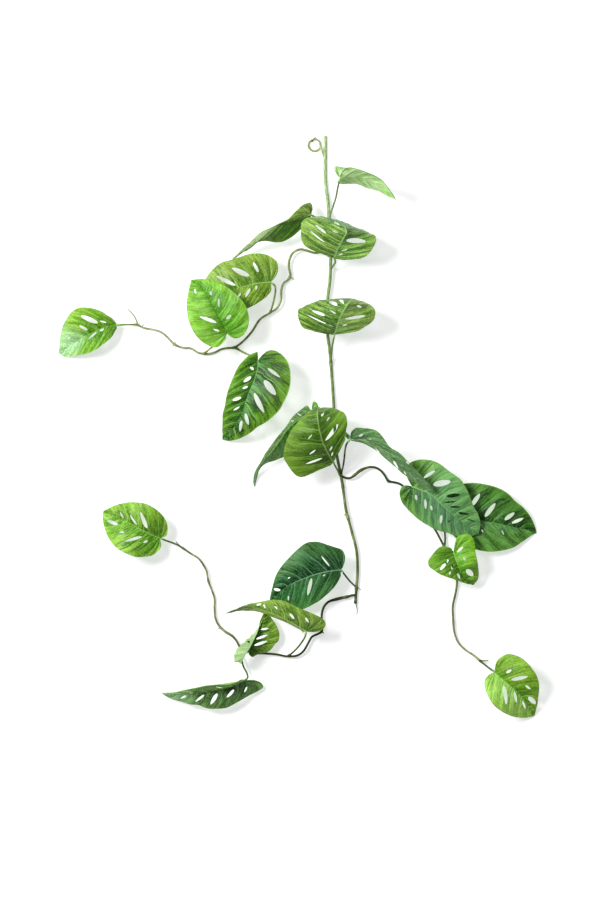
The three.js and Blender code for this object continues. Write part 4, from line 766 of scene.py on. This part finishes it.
        "holes": [[322.9, 411.7, 321.8, 417.6, 2.8], [329.3, 417.4, 325.8, 421.3, 1.6],
                  [337.3, 424.1, 325.4, 440.8, 4.6], [331.6, 445.2, 329.3, 451, 2],
                  [333.2, 451.9, 331.3, 456.3, 1.8], [311.6, 434.7, 307.7, 438.6, 1.4],
                  [316, 449.1, 309.3, 453.6, 1.6], [321.8, 458, 306.2, 463.9, 2.6]]},
    "leaf_11": {
        "slot": "leaf_blue", "slope": [1.0, -1.1], "arch": 1,
        "look": {"tones": ["#5b8154", "#709162"], "vein": "#94c49a", "rib": "#8fbf8c", "ribStrength": 0.4,
                 "patchShade": 0.8, "band": 0.6, "veinStrength": 0.55, "lines": 0.6},
        "stalkStops": [(0, "#465028"), (1, "#323c1e")],
        "stalk": [[341.2, 473, 6], [343, 467, 15], [344.3, 458, 28], [345.2, 449, 37], [347, 443, 41],
                  [350.5, 439, 44]],
        "rib": [[350.5, 439, 44], [359, 436.5, 49], [369, 439.5, 54], [380, 447, 57], [391, 457, 57],
                [403, 467, 54], [415, 477, 49], [425, 485, 44], [435, 492, 38]],
        "sides": [
            [[351, 434], [352, 430.5], [356, 427.8], [362, 428], [370, 429], [376, 431], [381, 435.3],
             [384.5, 440], [388, 445], [392, 448.8], [397.5, 452], [402.5, 456.5], [407.5, 462], [416, 470],
             [425, 479.5], [431, 486.5]],
            [[350.3, 436.5], [348, 434], [345.6, 431.8], [344.5, 434], [346, 437], [349, 439.7], [355, 441],
             [363, 442.7], [371.7, 447.5], [378, 452], [383, 456.7], [393, 465], [402.5, 473], [411, 480],
             [420, 485.5], [428, 490]]],
        "holes": [[358.8, 436.2, 363, 434, 1.8], [366, 438, 371.5, 438.8, 1.6],
                  [374.8, 447, 378.8, 455.8, 3], [393.3, 460.3, 396.8, 469.8, 3.4],
                  [405.7, 461.2, 409, 465, 1.6], [403.8, 470.8, 406, 474.8, 2]]},
    "leaf_12": {
        "slot": "leaf_blue", "slope": [0.12, -0.3], "arch": 4,
        "look": {"tones": ["#528b25", "#1e5902"], "vein": "#86c074", "band": 0.9, "rib": "#86b868",
                 "sheen": [0.75, 0.4], "sheenTone": "#90c878", "quilt": 1.8, "deep": "#80985c", "edge": "#6ca030",
                 "edgeStrength": 0.55, "tip": "#74b080", "tipFrom": 0.3, "tipStrength": 0.45, "lines": 0.6,
                 "mottle": 0.3},
        "stalk": [[403.5, 486.8, 5], [406, 488, 10], [409.5, 488.2, 15], [413, 487, 20]],
        "rib": [[413, 487, 20], [421, 490, 24], [430, 494, 26], [438, 501, 27], [445, 508, 27],
                [453, 515, 26], [460, 520, 24], [470, 528, 21], [479, 534, 18]],
        "sides": [
            [[410.5, 483], [407.3, 478], [406.8, 471], [408, 465], [411.5, 462], [416, 460.5], [422, 459.5],
             [432, 460.5], [440, 464], [448, 470.5], [456, 476], [461, 480], [464.5, 485.5], [468, 492],
             [471, 500], [474, 507], [478, 514], [480.3, 523]],
            [[407, 485.5], [403, 486], [400, 491], [401, 499], [405.5, 506.7], [411.7, 513.3],
             [418.7, 519.2], [427.5, 525.2], [436.3, 529.6], [447, 532.5], [456, 536], [468, 536.5]]],
        "holes": [[423.6, 478, 434.1, 470.2, 3.2], [433.3, 484.9, 450.2, 480.9, 6],
                  [446.3, 496.8, 461.3, 494.9, 4], [443.8, 502.4, 456, 501, 1.8],
                  [450, 507.6, 461.9, 506.6, 2.2], [458, 512.6, 468.6, 513.3, 2.8],
                  [467.4, 518.8, 475.8, 521.6, 1.6], [415.2, 494.8, 416.2, 499.8, 2.8],
                  [424.4, 498.8, 425.6, 508.8, 2.8], [431.3, 505.2, 431.7, 510, 2.4],
                  [440.8, 514.6, 441.6, 524, 3], [447.4, 522.7, 450.8, 519.3, 1.6]]},
    "leaf_13": {
        "slot": "leaf_dark", "slope": [0.1, 0.02], "arch": 2,
        "look": {"tones": ["#20500c", "#5f8e46"], "vein": "#64a452", "rib": "#6fa85c", "ribStrength": 0.4,
                 "sheen": [0.6, 0.6], "sheenTone": "#6aaa4c", "quilt": 1.8, "deep": "#8a9c58", "edge": "#58962a",
                 "edgeStrength": 0.4, "band": 0.85, "patchShade": 0.95, "lines": 0.6, "bluishNearRib": [0.0, 0.6],
                 "mottle": 0.3},
        "stalk": [[444.8, 546, 5.5], [445.5, 540, 3.6], [445, 530, 2.2], [444.5, 521, 4], [447, 515, 9]],
        "rib": [[447, 515, 9], [460, 517, 10], [472, 519.5, 11], [480, 521, 11.5], [490, 522.5, 12],
                [500, 524, 12], [512, 527, 9], [525, 529.5, 5], [537, 533, 0.6]],
        "sides": [
            [[447, 509.5], [443.8, 503], [444.8, 496], [449, 490], [456, 485.7], [464, 483.7], [474, 482.8],
             [484, 484], [493, 486], [502, 489.5], [509.5, 494.5], [515, 500.5], [523, 507], [529.5, 514.5],
             [534, 522.5], [536.3, 529]],
            [[448, 523], [450.7, 531.3], [457.6, 539.7], [466.7, 545.9], [474.8, 549.3], [482, 551],
             [492, 552], [504.2, 550.5], [513.4, 548], [522.5, 542.3], [530, 537]]],
        "holes": [[471.8, 506, 480.6, 494.2, 4.4], [484.4, 516.8, 496.5, 504, 4.6],
                  [505.3, 520, 514.5, 512.7, 4.2], [512.3, 523, 523.8, 518.3, 3.4],
                  [482.2, 529.5, 483.6, 532.8, 1.1], [502.2, 530.2, 504.6, 535.2, 1.2]]},
    "leaf_14": {
        "slot": "leaf_bright", "slope": [0.15, 0.15], "arch": 3,
        "look": {"tones": ["#408002", "#509902"], "vein": "#96d060", "rib": "#a0d870", "sheen": [0.2, 0.35],
                 "lines": 0.38, "mottle": 0.2},
        "stalk": [[444.8, 547.5, 6.5], [448.5, 550.5, 13], [454, 553, 21]],
        "rib": [[454, 553, 21], [456, 560, 26], [460, 570, 26], [465, 578, 21], [474, 585, 12]],
        "sides": [
            [[451, 548], [445, 546.3], [439.5, 547.3], [434.9, 551.5], [430.8, 556.7], [428.2, 561.5],
             [429.2, 566.6], [433.8, 570.2], [439.8, 574], [446, 576.7], [456, 579.7], [465, 583.3]],
            [[455.2, 546.5], [455.6, 540.3], [458.6, 536], [463, 534.5], [470.3, 535], [474, 540.8],
             [475.3, 550], [477, 560], [478.7, 570], [478.3, 578.5]]],
        "holes": [[457, 552, 463.8, 547.3, 2.8], [463, 557.3, 465.2, 560.3, 1.8],
                  [466.5, 568.8, 473, 576, 5.4], [448.6, 558.5, 447, 562.8, 1.8],
                  [446, 563.5, 440.3, 570.3, 3.2], [453.7, 564.7, 451.2, 569.6, 2.6],
                  [450.6, 572, 449, 574.8, 1.6], [457.3, 573.5, 459.8, 578.3, 2.4]]},
    "leaf_15": {
        "slot": "leaf_bright", "slope": [0.2, 0.22], "arch": 3,
        "look": {"tones": ["#619903", "#a6dc6a"], "vein": "#9ad468", "rib": "#3f7f18", "ribLift": -0.35,
                 "sheen": [0.4, 0.6],
                 "rim": "#6a5a60", "veinStrength": 0.3},
        "stalk": [[480, 661, 4], [485.5, 665.5, 9], [490.5, 669.3, 14], [495.5, 672.5, 18]],
        "rib": [[495.5, 672.5, 18], [502, 678, 22], [510, 685, 24], [519, 693, 20], [527, 703, 12],
                [535, 716.5, 0.5]],
        "sides": [
            [[495.7, 667], [496.6, 662.2], [501.7, 656.8], [508, 654.2], [515.2, 655.2], [522.6, 658.6],
             [528.7, 664.4], [532.8, 669.5], [536.6, 675.7], [539, 683], [539.3, 691], [538.3, 700],
             [537, 708]],
            [[490.5, 674.3], [487, 677], [484.7, 682], [485.2, 688.2], [488.3, 696.4], [493.4, 704.7],
             [500.6, 710.8], [509, 715.2], [518, 717.8], [527, 718.3]]],
        "holes": [[506.5, 672.4, 512.2, 669.9, 2.8], [511.3, 679.2, 527.9, 676.8, 3.8],
                  [525.6, 685.6, 530.4, 689.2, 2.4], [528.9, 697.6, 536, 703.2, 5],
                  [504, 685.6, 506.2, 704.3, 4], [514, 691.5, 515.8, 703.2, 2.8],
                  [523, 701.7, 525.8, 709.3, 2.2]]},
    "leaf_16": {
        "slot": "leaf_blue", "slope": [0.1, -0.2], "arch": 4,
        "look": {"tones": ["#08360a", "#245a20"], "vein": "#8cbc94", "rib": "#8fc096", "veinWidth": 0.035,
                 "veinStrength": 0.6, "patchShade": 0.3, "band": 0.15, "ribShade": 0.25, "sheen": [0.4, 0.3],
                 "lines": 0.6, "sheenTone": "#64a470", "mottle": 0.3},
        "stalkStops": [(0, "#505e34"), (1, "#4c6c40")],
        "stalk": [[357, 588, 4], [352.5, 584, 8], [348.3, 579.5, 13], [344.5, 574.5, 18], [341, 570, 22]],
        "rib": [[341, 570, 22], [330, 571, 28], [320, 573, 31], [310, 576, 31], [300, 580, 28],
                [290, 584.5, 23], [280, 592, 16], [269, 603, 8]],
        "sides": [
            [[343.5, 565], [344.7, 560], [344.7, 555], [342, 550], [334, 547], [327, 544.5], [319, 542],
             [312, 541.7], [306, 543], [299, 548], [291, 555.5], [285, 562], [278.3, 571.5], [274.3, 580.5],
             [271.5, 591]],
            [[340.7, 576], [338.5, 581], [335, 585.5], [330, 591], [322, 599], [312, 605], [304, 609],
             [296, 611], [287, 611], [278, 608]]],
        "holes": [[329.7, 565.8, 320.8, 555.8, 1.8], [281, 589, 273, 590, 3.2],
                  [311.5, 578.5, 308, 595.5, 3.6], [326, 574.5, 323, 575.8, 1.4],
                  [288.5, 596, 288, 600.5, 1.6], [290.5, 576.5, 288.3, 577.5, 1.4]]},
    "leaf_17": {
        "slot": "leaf_olive", "arch": 2,
        "look": {"tones": ["#5a8930", "#92bc46"], "vein": "#a4cc70", "rib": "#b4d68a", "ribLift": 0.5,
                 "tip": "#5a5f4c", "tipFrom": 0.68, "tipStrength": 1.0},
        "stalk": [[288, 656.5, 4], [292, 653.5, 9], [297.5, 648, 16], [302, 642, 23], [305.3, 636, 30],
                  [306, 631, 34]],
        "rib": [[306, 631, 34], [298, 626, 38], [289, 620.5, 41], [279, 616, 42], [269, 611.5, 41],
                [259, 608, 38], [249, 607, 33], [240, 608.3, 27], [226, 613.5, 16]],
        "sides": [
            [[312, 631.3, 32], [319, 631, 32], [324.5, 627.5, 34], [325.5, 622.5, 36], [321, 617.5, 40],
             [309, 611.8, 45], [301, 608.5, 47], [293, 604.8, 48], [285, 601, 48], [278, 599.7, 47],
             [270, 599.7, 45], [260, 601.7, 41], [250, 603.7, 36], [240, 607.3, 28], [231, 611.1, 21]],
            [[303, 632.8, 30], [301, 630.3, 26], [296, 627.3, 24], [289, 623.3, 23], [280, 619.3, 22],
             [271, 616, 22], [262, 613, 22], [252, 610.8, 21], [244, 610.5, 20], [235, 611.8, 17]]],
        "holes": [[289, 613, 295, 618.5, 2.6], [275, 604, 277, 609, 2], [306, 617, 309, 622.5, 2],
                  [256, 605.5, 260, 604, 1.8], [264, 604, 266, 608, 1.8]]},
    "leaf_18": {
        "slot": "leaf_bright", "slope": [0, -0.15], "arch": 2, "sleeve": 3,
        "look": {"tones": ["#346802", "#346702"], "vein": "#6aa040", "rib": "#78b050"},
        "under": {"ground": "#789c5e", "pale": "#9abc80", "fibre": "#86965e", "vein": "#a8c48e"},
        "stalk": [[242.5, 649.3, 6], [245, 651.3, 8.5], [248.5, 652, 12]],
        "rib": [[248.5, 652, 12], [251, 645, 14], [257, 633, 16], [260, 622, 15], [264, 613, 12]],
        "sides": [
            [[241, 664, 26], [242.5, 660.5, 30], [246, 654, 33], [250, 647.5, 34], [254, 640, 30],
             [257.5, 632, 24], [260.3, 625, 18], [262.3, 618.5, 14]],
            [[249.5, 655.5], [252.5, 657.3], [256.5, 655.2], [262.7, 654.1], [270, 650.4], [275, 644.6],
             [278.2, 641.3], [279.2, 634], [276, 625.5], [270.8, 617.5], [267, 613.8]]],
        "middle": [[241, 659.5, 16], [235.3, 661.5, 19], [234.3, 656, 23], [236.7, 649.5, 26],
                   [242.3, 643.8, 26], [249, 638, 24], [256, 631, 20], [260.5, 625, 16.5],
                   [262.4, 618.5, 13]],
        "holes": [[260.5, 629.5, 268.5, 628, 2], [256, 639.5, 267.5, 635.3, 2.4],
                  [254, 646, 267.5, 641.3, 2.8], [0, 0.46, 0.76, 0.42, 0.93, 3.2]]},
    "leaf_19": {
        "slot": "leaf_dark", "slope": [0, -0.45], "arch": 2,
        "look": {"tones": ["#9fd56f", "#4b7439"], "vein": "#6c9c50", "rib": "#6f9a5a", "deep": "#90a060",
                 "sheen": [0.6, 0.6], "sheenTone": "#8cb47c", "patchShade": 0.95, "lines": 0.7, "tip": "#90b48c",
                 "tipFrom": 0.68, "tipStrength": 0.5},
        "stalk": [[240.6, 648.5, 5], [241, 655, 5], [242, 662, 6], [243.7, 668, 8], [246.5, 673, 9],
                  [247.6, 678, 11.5], [244, 681, 18]],
        "rib": [[244, 681, 18], [232, 686.5, 24], [217, 690, 27], [202, 692.5, 26], [186, 694, 18],
                [172, 694.3, 9], [161.5, 693.5, 0.6]],
        "sides": [
            [[243.3, 679.5, 24], [240, 680.3, 33], [236, 682, 39], [230, 683.5, 43], [215, 684.5, 46],
             [205, 685.8, 44], [193, 687.8, 37], [185, 690, 27], [178, 691.8, 18], [168, 693.3, 6]],
            [[250.5, 681], [255.3, 681], [260.7, 683.2], [263.2, 687.6], [258.4, 691.2], [250.3, 695.5],
             [240.3, 700.7], [233.2, 704.7], [226.2, 708], [219, 709], [210, 709.2], [204, 707.7],
             [198, 705.2], [190, 704.4], [182, 702.2], [172, 699.7], [166, 697]]],
        "holes": [[196, 693.5, 190, 697.5, 2], [186.5, 696, 180, 698.8, 2], [204, 695, 196, 702, 2.4],
                  [218, 693.5, 211, 704.5, 4], [234, 690, 227, 697.5, 3.2], [247, 687, 243, 692.5, 2.4],
                  [224, 687.5, 215.5, 686, 1.6]]},
    "leaf_20": {
        "slot": "leaf_bright", "slope": [0.18, 0.18], "arch": 3,
        "look": {"tones": ["#457b01", "#4e8d07"], "vein": "#92d064", "rib": "#8fcf60", "sheen": [0.35, 0.6]},
        "stalk": [[182.5, 548.3, 4], [176, 544.5, 8], [168, 541.5, 13], [159, 538, 18]],
        "rib": [[159, 538, 18], [148, 533, 25], [140, 529, 27], [130, 523, 23], [118, 517, 13],
                [103, 511.3, 0.5]],
        "sides": [
            [[161.5, 537], [165.6, 536], [167.3, 532], [166.9, 524.7], [163.7, 517.4], [158.5, 511.3],
             [152.3, 506.8], [146.2, 503.9], [139, 502.7], [130, 502.2], [120.8, 503.7], [111.7, 506.8]],
            [[160, 541.5], [160.6, 546.4], [158, 551.2], [152.3, 555.3], [145, 556.8], [136, 556.8],
             [127.7, 554.1], [120.5, 550.7], [114.4, 546], [109.3, 539.3], [105.2, 530.3], [102.5, 520]]],
        "holes": [[124, 518.3, 119.2, 512, 2.4], [136.3, 525, 130, 514.5, 2.4],
                  [147.5, 528.5, 141.3, 512, 4], [117.3, 525, 106.5, 520.5, 3.6],
                  [124.6, 532.8, 119.6, 532.4, 2.4], [141.3, 536.4, 124.3, 541.4, 3],
                  [148, 541, 143, 543, 2.2]]},
}


# An edge point without a height takes the nearest rib height plus slope times their distance
def edgePath(points, rib, slope, count=60):
    samples = [walk(rib, i / count) for i in range(count + 1)]
    placed = []
    for point in points:
        spot = at(point)
        if len(point) < 3:
            near = min(samples, key=lambda sample: (sample.xy - spot.xy).length)
            spot.z = max(near.z + slope * (near.xy - spot.xy).length, blade["lowest"] * mm)
        placed.append(spot)
    return smoothPath([*placed, samples[-1]])


def bladeShape(leaf):
    rib = smoothPath([at(point) for point in leaf["rib"]])
    slope = leaf.get("slope", [0, 0])
    shape = {"rib": rib, "arch": leaf["arch"] * mm, "middle": None,
             "edges": [edgePath(side, rib, slope[k]) for k, side in enumerate(leaf["sides"])]}
    if "middle" in leaf:
        shape["middle"] = edgePath(leaf["middle"], rib, 0)
    return shape


# along is 0 at the notch and 1 at the tip, across 0 on the rib and 1 on the edge
def bladeSpot(shape, side, along, across):
    fan = blade["fan"]
    root = 0 if along <= fan else ((along - fan) / (1 - fan)) ** blade["fanPower"]
    start = walk(shape["rib"], root)
    end = walk(shape["edges"][side], along)
    if shape["middle"] and side == 0:
        middle = walk(shape["middle"], along)
        return (start * (1 - across) * (1 - 2 * across) + middle * 4 * across * (1 - across)
                + end * across * (2 * across - 1))
    spot = start.lerp(end, across)
    spot.z += shape["arch"] * 4 * across * (1 - across) * math.sin(math.pi * along)
    return spot


# Where each hole starts and ends on its blade. A hole of six is given that way: side, two pairs of along
# and across, and width in mm. One of five is two plan points and a plan width, and the blade that lies
# highest there takes it
def holeEnds(shape, holes, rows=49, columns=33, step=0.03, preferHigh=0.01):
    table = []
    for side in (0, 1):
        for i in range(1, rows):
            for j in range(2, columns):
                table.append((bladeSpot(shape, side, i / rows, j * step), side, i / rows, j * step))
    ends = []
    for hole in holes:
        if len(hole) == 6:
            side, along0, across0, along1, across1, width = hole
            ends.append(((side, along0, across0), (side, along1, across1), width * mm))
            continue
        found = []
        for point in (hole[:2], hole[2:4]):
            goal = at(point).xy
            best = min(table, key=lambda row: (row[0].xy - goal).length - row[0].z * preferHigh)
            found.append(best[1:])
        ends.append((*found, hole[4] * plan["step"]))
    return ends


# Veins run between the holes: a hole's row is at a half, and a vein at a whole number
def veinRows(ends, side):
    groups = []
    for row in sorted((start[1] + end[1]) / 2 for start, end, _ in ends if start[0] == side):
        if groups and row - groups[-1] < veins["sameRow"]:
            groups[-1] = (groups[-1] + row) / 2
        else:
            groups.append(row)
    return groups or [0.5]


def veinPhase(rows, along):
    pitch = veins["pitch"]
    if len(rows) > 1:
        pitch = min(max((rows[-1] - rows[0]) / (len(rows) - 1), veins["least"]), veins["most"])
    if along <= rows[0]:
        return 0.5 - (rows[0] - along) / pitch
    phase = 0.5
    # a gap between rows is one interval, or more where it is wide
    for low, high in zip(rows, rows[1:]):
        intervals = 1 + max(round((high - low) / pitch) - 1, 0)
        if along <= high:
            return phase + (along - low) / (high - low) * intervals
        phase += intervals
    return phase + (along - rows[-1]) / pitch


def ease(value, low, high):
    t = min(max((value - low) / (high - low), 0), 1)
    return t * t * (3 - 2 * t)


# How far the blade stands out from its smooth form: quilted between the veins, raised at the rib, wavy
# towards the edge
def bladeLift(look, along, across, phase, width):
    seed = look["seed"]
    swept = phase - look["sweep"] * across ** 2
    bulge = abs(math.sin(math.pi * swept)) ** relief["sharpness"] - relief["middle"]
    reach = ease(across, 0.0, relief["fanReach"] if along < blade["fan"] else relief["reach"])
    reach *= 1 - relief["rimFlat"] * ease(across, relief["rimFrom"], 1)
    lift = look["quilt"] * bulge * reach
    fromRib = across * width / (relief["ribHalf"] * mm)
    lift += look["ribLift"] * math.exp(-fromRib ** 2) * (1 - relief["ribFading"] * along)
    wave = math.sin(swept * relief["waveRate"] + seed) * across ** 3
    lift += look["wave"] * wave * ease(1 - along, 0, relief["waveEnd"])
    pitch = relief["unevenPitch"]
    lift += relief["uneven"] * noise.noise(Vector((along * pitch[0], across * pitch[1], seed)))
    return lift * mm


def cutHoles(piece, shape, ends, near=0.03):
    cutters = []
    for (side, along0, across0), (_, along1, across1), width in ends:
        start, end = bladeSpot(shape, side, along0, across0), bladeSpot(shape, side, along1, across1)
        along, across = (along0 + along1) / 2, (across0 + across1) / 2
        forward = bladeSpot(shape, side, along + near, across) - bladeSpot(shape, side, along - near, across)
        outward = bladeSpot(shape, side, along, across + near) - bladeSpot(shape, side, along, across - near)
        up = forward.cross(outward).normalized()
        axis = end - start
        length = axis.length
        axis = (axis - up * axis.dot(up)).normalized()
        beside = up.cross(axis)
        bpy.ops.object.select_all(action="DESELECT")
        bpy.ops.mesh.primitive_cylinder_add(vertices=blade["holeSides"], radius=1, depth=2)
        cutter = bpy.context.object
        middle = (start + end) / 2
        for vertex in cutter.data.vertices:
            x, y, z = vertex.co
            # an oval that is slightly pointed, and a little wider at its start
            half = math.copysign(abs(y) ** blade["holeBluntness"], y) * width / 2
            half *= 1 - blade["holeTaper"] * x
            vertex.co = middle + axis * x * length / 2 + beside * half + up * z * blade["holeDepth"] * mm
        # past the edge on the blade map, where the material paints the walls of the holes
        cutter.data.uv_layers[0].name = "blade"
        for corner in cutter.data.uv_layers[0].data:
            corner.uv = (2, 0)
        cutters.append(cutter)
    cutter = joinPieces(cutters, "cutter")
    applyModifier(piece, "BOOLEAN", operation="DIFFERENCE", solver="MANIFOLD", object=cutter)
    bpy.data.objects.remove(cutter)


# The blade's sheet, with its two maps: "blade" for where on the leaf, "veins" for where between veins
def makeSheet(name, shape, rows, look, flipped):
    piece = startGrid(name, 2 * blade["columns"], blade["rows"])
    mesh = piece.data
    where = [(v.co.x, (v.co.y + 1) / 2, abs(v.co.x) ** blade["spread"]) for v in mesh.vertices]
    mesh.uv_layers[0].name = "blade"
    veinMap = mesh.uv_layers.new(name="veins", do_init=False)
    bladeMap = mesh.uv_layers["blade"]
    for face in mesh.polygons:
        side = 0 if face.center.x < 0 else 1
        for loop in face.loop_indices:
            _, along, across = where[mesh.loops[loop].vertex_index]
            bladeMap.data[loop].uv = (across * (2 * side - 1), along)
            veinMap.data[loop].uv = (across, veinPhase(rows[side], along) + blade["sideGap"] * side)
    lifts = mesh.attributes.new("lift", "FLOAT", "POINT")
    for vertex, (x, along, across) in zip(mesh.vertices, where):
        side = 0 if x < 0 else 1
        vertex.co = bladeSpot(shape, side, along, across)
        width = (walk(shape["edges"][side], along) - walk(shape["rib"], along)).length
        lifts.data[vertex.index].value = bladeLift(look, along, across, veinPhase(rows[side], along), width)
    closeSeams(piece, outward=False)
    # the printed side looks up, unless the leaf is turned over
    facing = sum(face.normal.z * face.area for face in mesh.polygons)
    if (facing < 0) != flipped:
        mesh.flip_normals()
    mesh.update()
    normals = [vertex.normal.copy() for vertex in mesh.vertices]
    for vertex, normal in zip(mesh.vertices, normals):
        vertex.co += normal * mesh.attributes["lift"].data[vertex.index].value
    mesh.attributes.remove(mesh.attributes["lift"])
    return piece


# The sleeve under a leaf, over the end of its stalk and a little way into the blade
def makeSleeve(leaf, shape, finishes):
    stalkPath = smoothPath([at(point) for point in leaf["stalk"]])
    start = 1 - leaf.get("sleeve", sleeve["length"]) * mm / stalkPath["reach"][-1]
    # it points into the blade, along about the first eighth of the rib
    inside = bladeSpot(shape, 0, 0.5, 0).lerp(bladeSpot(shape, 0, 0, 0), 0.5)
    end = walk(stalkPath, 1)
    points = [walk(stalkPath, start + (1 - start) * i / 3) for i in range(4)]
    points.append(end.lerp(inside, min(1, sleeve["overlap"] * mm / max((inside - end).length, 1e-6))))
    path = smoothPath(points)
    reach = path["reach"][-1]
    piece = wrapRound("sleeve", path,
                      lambda far, turn: (sleeve["radius"] - sleeve["narrowing"] * far / reach) * mm,
                      lambda share: (1, 1, 1, 1), sleeve["sides"], sleeve["step"] * mm)
    # it takes the leaf's colour beside the notch
    piece.data.color_attributes.remove(piece.data.color_attributes["tint"])
    piece.data.uv_layers["wrap"].name = "blade"
    for corner in piece.data.uv_layers["blade"].data:
        corner.uv = (0, sleeve["mapAlong"])
    for finish in finishes:
        piece.data.materials.append(finish)
    return piece


def makeLeaf(name, node, leaf, number):
    look = {**leafLook, **kindLooks[leaf["slot"]], **leaf["look"], "seed": number * blade["seedStep"]}
    shape = bladeShape(leaf)
    ends = holeEnds(shape, leaf["holes"])
    rows = [veinRows(ends, side) for side in (0, 1)]
    piece = makeSheet(name, shape, rows, look, leaf.get("flipped", False))
    under = undersideFinish
    piece.data.materials.append(leafMaterial("printed leaf " + name[-2:], look))
    if "under" in leaf:
        under = undersideMaterial("bare underside " + name[-2:], {**undersideLook, **leaf["under"]})
    piece.data.materials.append(under)
    applyModifier(piece, "SOLIDIFY", thickness=blade["thickness"] * mm, offset=0, material_offset=1,
                  use_quality_normals=True)
    cutHoles(piece, shape, ends)
    piece = joinPieces([piece, makeSleeve(leaf, shape, piece.data.materials)], name)
    layFlat(piece)
    smoothShade(piece, blade["crease"])
    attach(piece, "root")
    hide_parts(node)
    print("leaf made:", name, len(piece.data.polygons), "faces")


stemFinish = stemMaterial("moulded vine stem", stemLook)
undersideFinish = undersideMaterial("bare leaf underside", undersideLook)

# each stem with the numbers of the leaves that its stalks carry
for name, node, stem, carried in (("mainStem", "main_stem", mainStem, (1, 2, 3, 8, 9, 10, 11, 16)),
                                  ("shootUpperLeft", "shoot_upper_left", shootUpperLeft, (4, 5, 6, 7)),
                                  ("shootRight", "shoot_right", shootRight, (12, 13, 14, 15)),
                                  ("shootLowerLeft", "shoot_lower_left", shootLowerLeft, (17, 18, 19, 20))):
    owners = [leaves["leaf_%02d" % number] for number in carried]
    makeStem(name, node, stem, [(leaf["stalk"], leaf.get("sleeve", sleeve["length"]), leaf.get("stalkStops"))
                                for leaf in owners])

for number, (node, leaf) in enumerate(leaves.items()):
    makeLeaf("leaf" + node[-2:], node, leaf, number)


# The loop's wire goes once round from where the arm leaves it, and its free end is twisted over it
hangingLoop = {"middle": [314.4, 144.3, 1.9], "radius": 8.2, "wire": 1.45, "startTurn": 40, "steps": 28,
               "uneven": 0.06, "pitch": 4, "sides": 14, "armRadius": 1.4, "twistRadius": [1.1, 0.7],
               "arm": [[319.6, 141.3, 1.9], [320.9, 146, 1.9], [322, 150, 1.9], [323.6, 154, 2.1],
                       [325, 158, 2.1]],
               "twist": [[311.8, 141.1, 1.9], [313.3, 138.8, 2.5], [315.6, 136.5, 2.3]],
               "stops": [(0, "#c0cca0"), (0.5, "#b2be8c"), (1, "#c6d2a6")],
               "twistStops": [(0, "#5c5a30"), (1, "#6f6a3c")]}


def makeLoop(look):
    middle = at(look["middle"])
    turns = [math.radians(look["startTurn"] + 360 * i / look["steps"]) for i in range(look["steps"] + 1)]
    ring = smoothPath([middle + Vector((math.cos(turn), math.sin(turn), 0)) * (look["radius"] * mm)
                       for turn in turns])

    def wireAt(far, turn):
        uneven = noise.noise(Vector((far / (look["pitch"] * mm), 8.4, 0)))
        return look["wire"] * mm * (1 + look["uneven"] * uneven)
    parts = [wrapRound("ring", ring, wireAt, lambda share: tintBetween(look["stops"], share), look["sides"],
                       1 * mm),
             taperedPart("arm", look["arm"], look["armRadius"], look["armRadius"], look["stops"], 12),
             taperedPart("twist", look["twist"], *look["twistRadius"], look["twistStops"], 10)]
    piece = joinPieces(parts, "hangingLoop")
    piece.data.materials.append(stemFinish)
    smoothShade(piece, bark["crease"])
    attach(piece, "root")
    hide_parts("hanging_loop")
    print("loop made:", len(piece.data.polygons), "faces")


makeLoop(hangingLoop)

studio = {"floor": "#c6c6c8", "roughness": 0.9, "size": 12, "glow": 0.53, "fill": 0.3, "keyPower": 124,
          "keySize": 1.1,
          "keyFrom": (-1.8, 0.9, 2.2), "topPower": 16, "topSize": 1.6, "topFrom": (0.2, 1.8, 2.4)}

bpy.ops.object.select_all(action="DESELECT")
bpy.ops.mesh.primitive_plane_add(size=studio["size"], location=(0, 0, 0))
floor = bpy.context.object
floor.name = "floor"
floorFinish, floorTree = startMaterial("white paper")
# a little light of its own, as on a light table, keeps the shadows on it faint
add(floorTree, "output", add(floorTree, "paper", studio["floor"], studio["roughness"], 0.0, (1, 1, 1, 1),
                             studio["glow"]))
floor.data.materials.append(floorFinish)


def aimAt(thing, target):
    thing.rotation_euler = (Vector(target) - thing.location).to_track_quat("-Z", "Y").to_euler()


def addLamp(name, power, size, place):
    lamp = bpy.data.lights.new(name, "AREA")
    lamp.shape = "SQUARE"
    lamp.size = size
    lamp.energy = power
    holder = bpy.data.objects.new(name, lamp)
    holder.location = place
    bpy.context.scene.collection.objects.link(holder)
    aimAt(holder, (0, 0, 0))


addLamp("keyLight", studio["keyPower"], studio["keySize"], studio["keyFrom"])
addLamp("topLight", studio["topPower"], studio["topSize"], studio["topFrom"])

world = bpy.data.worlds.new("studio")
world.use_nodes = True
world.node_tree.nodes["Background"].inputs["Color"].default_value = (1, 1, 1, 1)
world.node_tree.nodes["Background"].inputs["Strength"].default_value = studio["fill"]
scene = bpy.context.scene
scene.world = world
scene.view_settings.view_transform = "Standard"

# Straight down from far off; the frame is 900 plan steps high
camera = {"lens": 300, "sensor": 36, "farthest": 50, "aim": (1.244 * mm, -32.01 * mm, 30 * mm),
          "frame": 900 * plan["step"]}
eye = bpy.data.cameras.new("camera")
eye.lens = camera["lens"]
eye.sensor_width = camera["sensor"]
eyeHolder = bpy.data.objects.new("camera", eye)
distance = camera["frame"] * camera["lens"] / camera["sensor"]
eyeHolder.location = Vector(camera["aim"]) + Vector((0, 0, distance))
eye.clip_end = camera["farthest"]
scene.collection.objects.link(eyeHolder)
scene.camera = eyeHolder
print("studio ready")
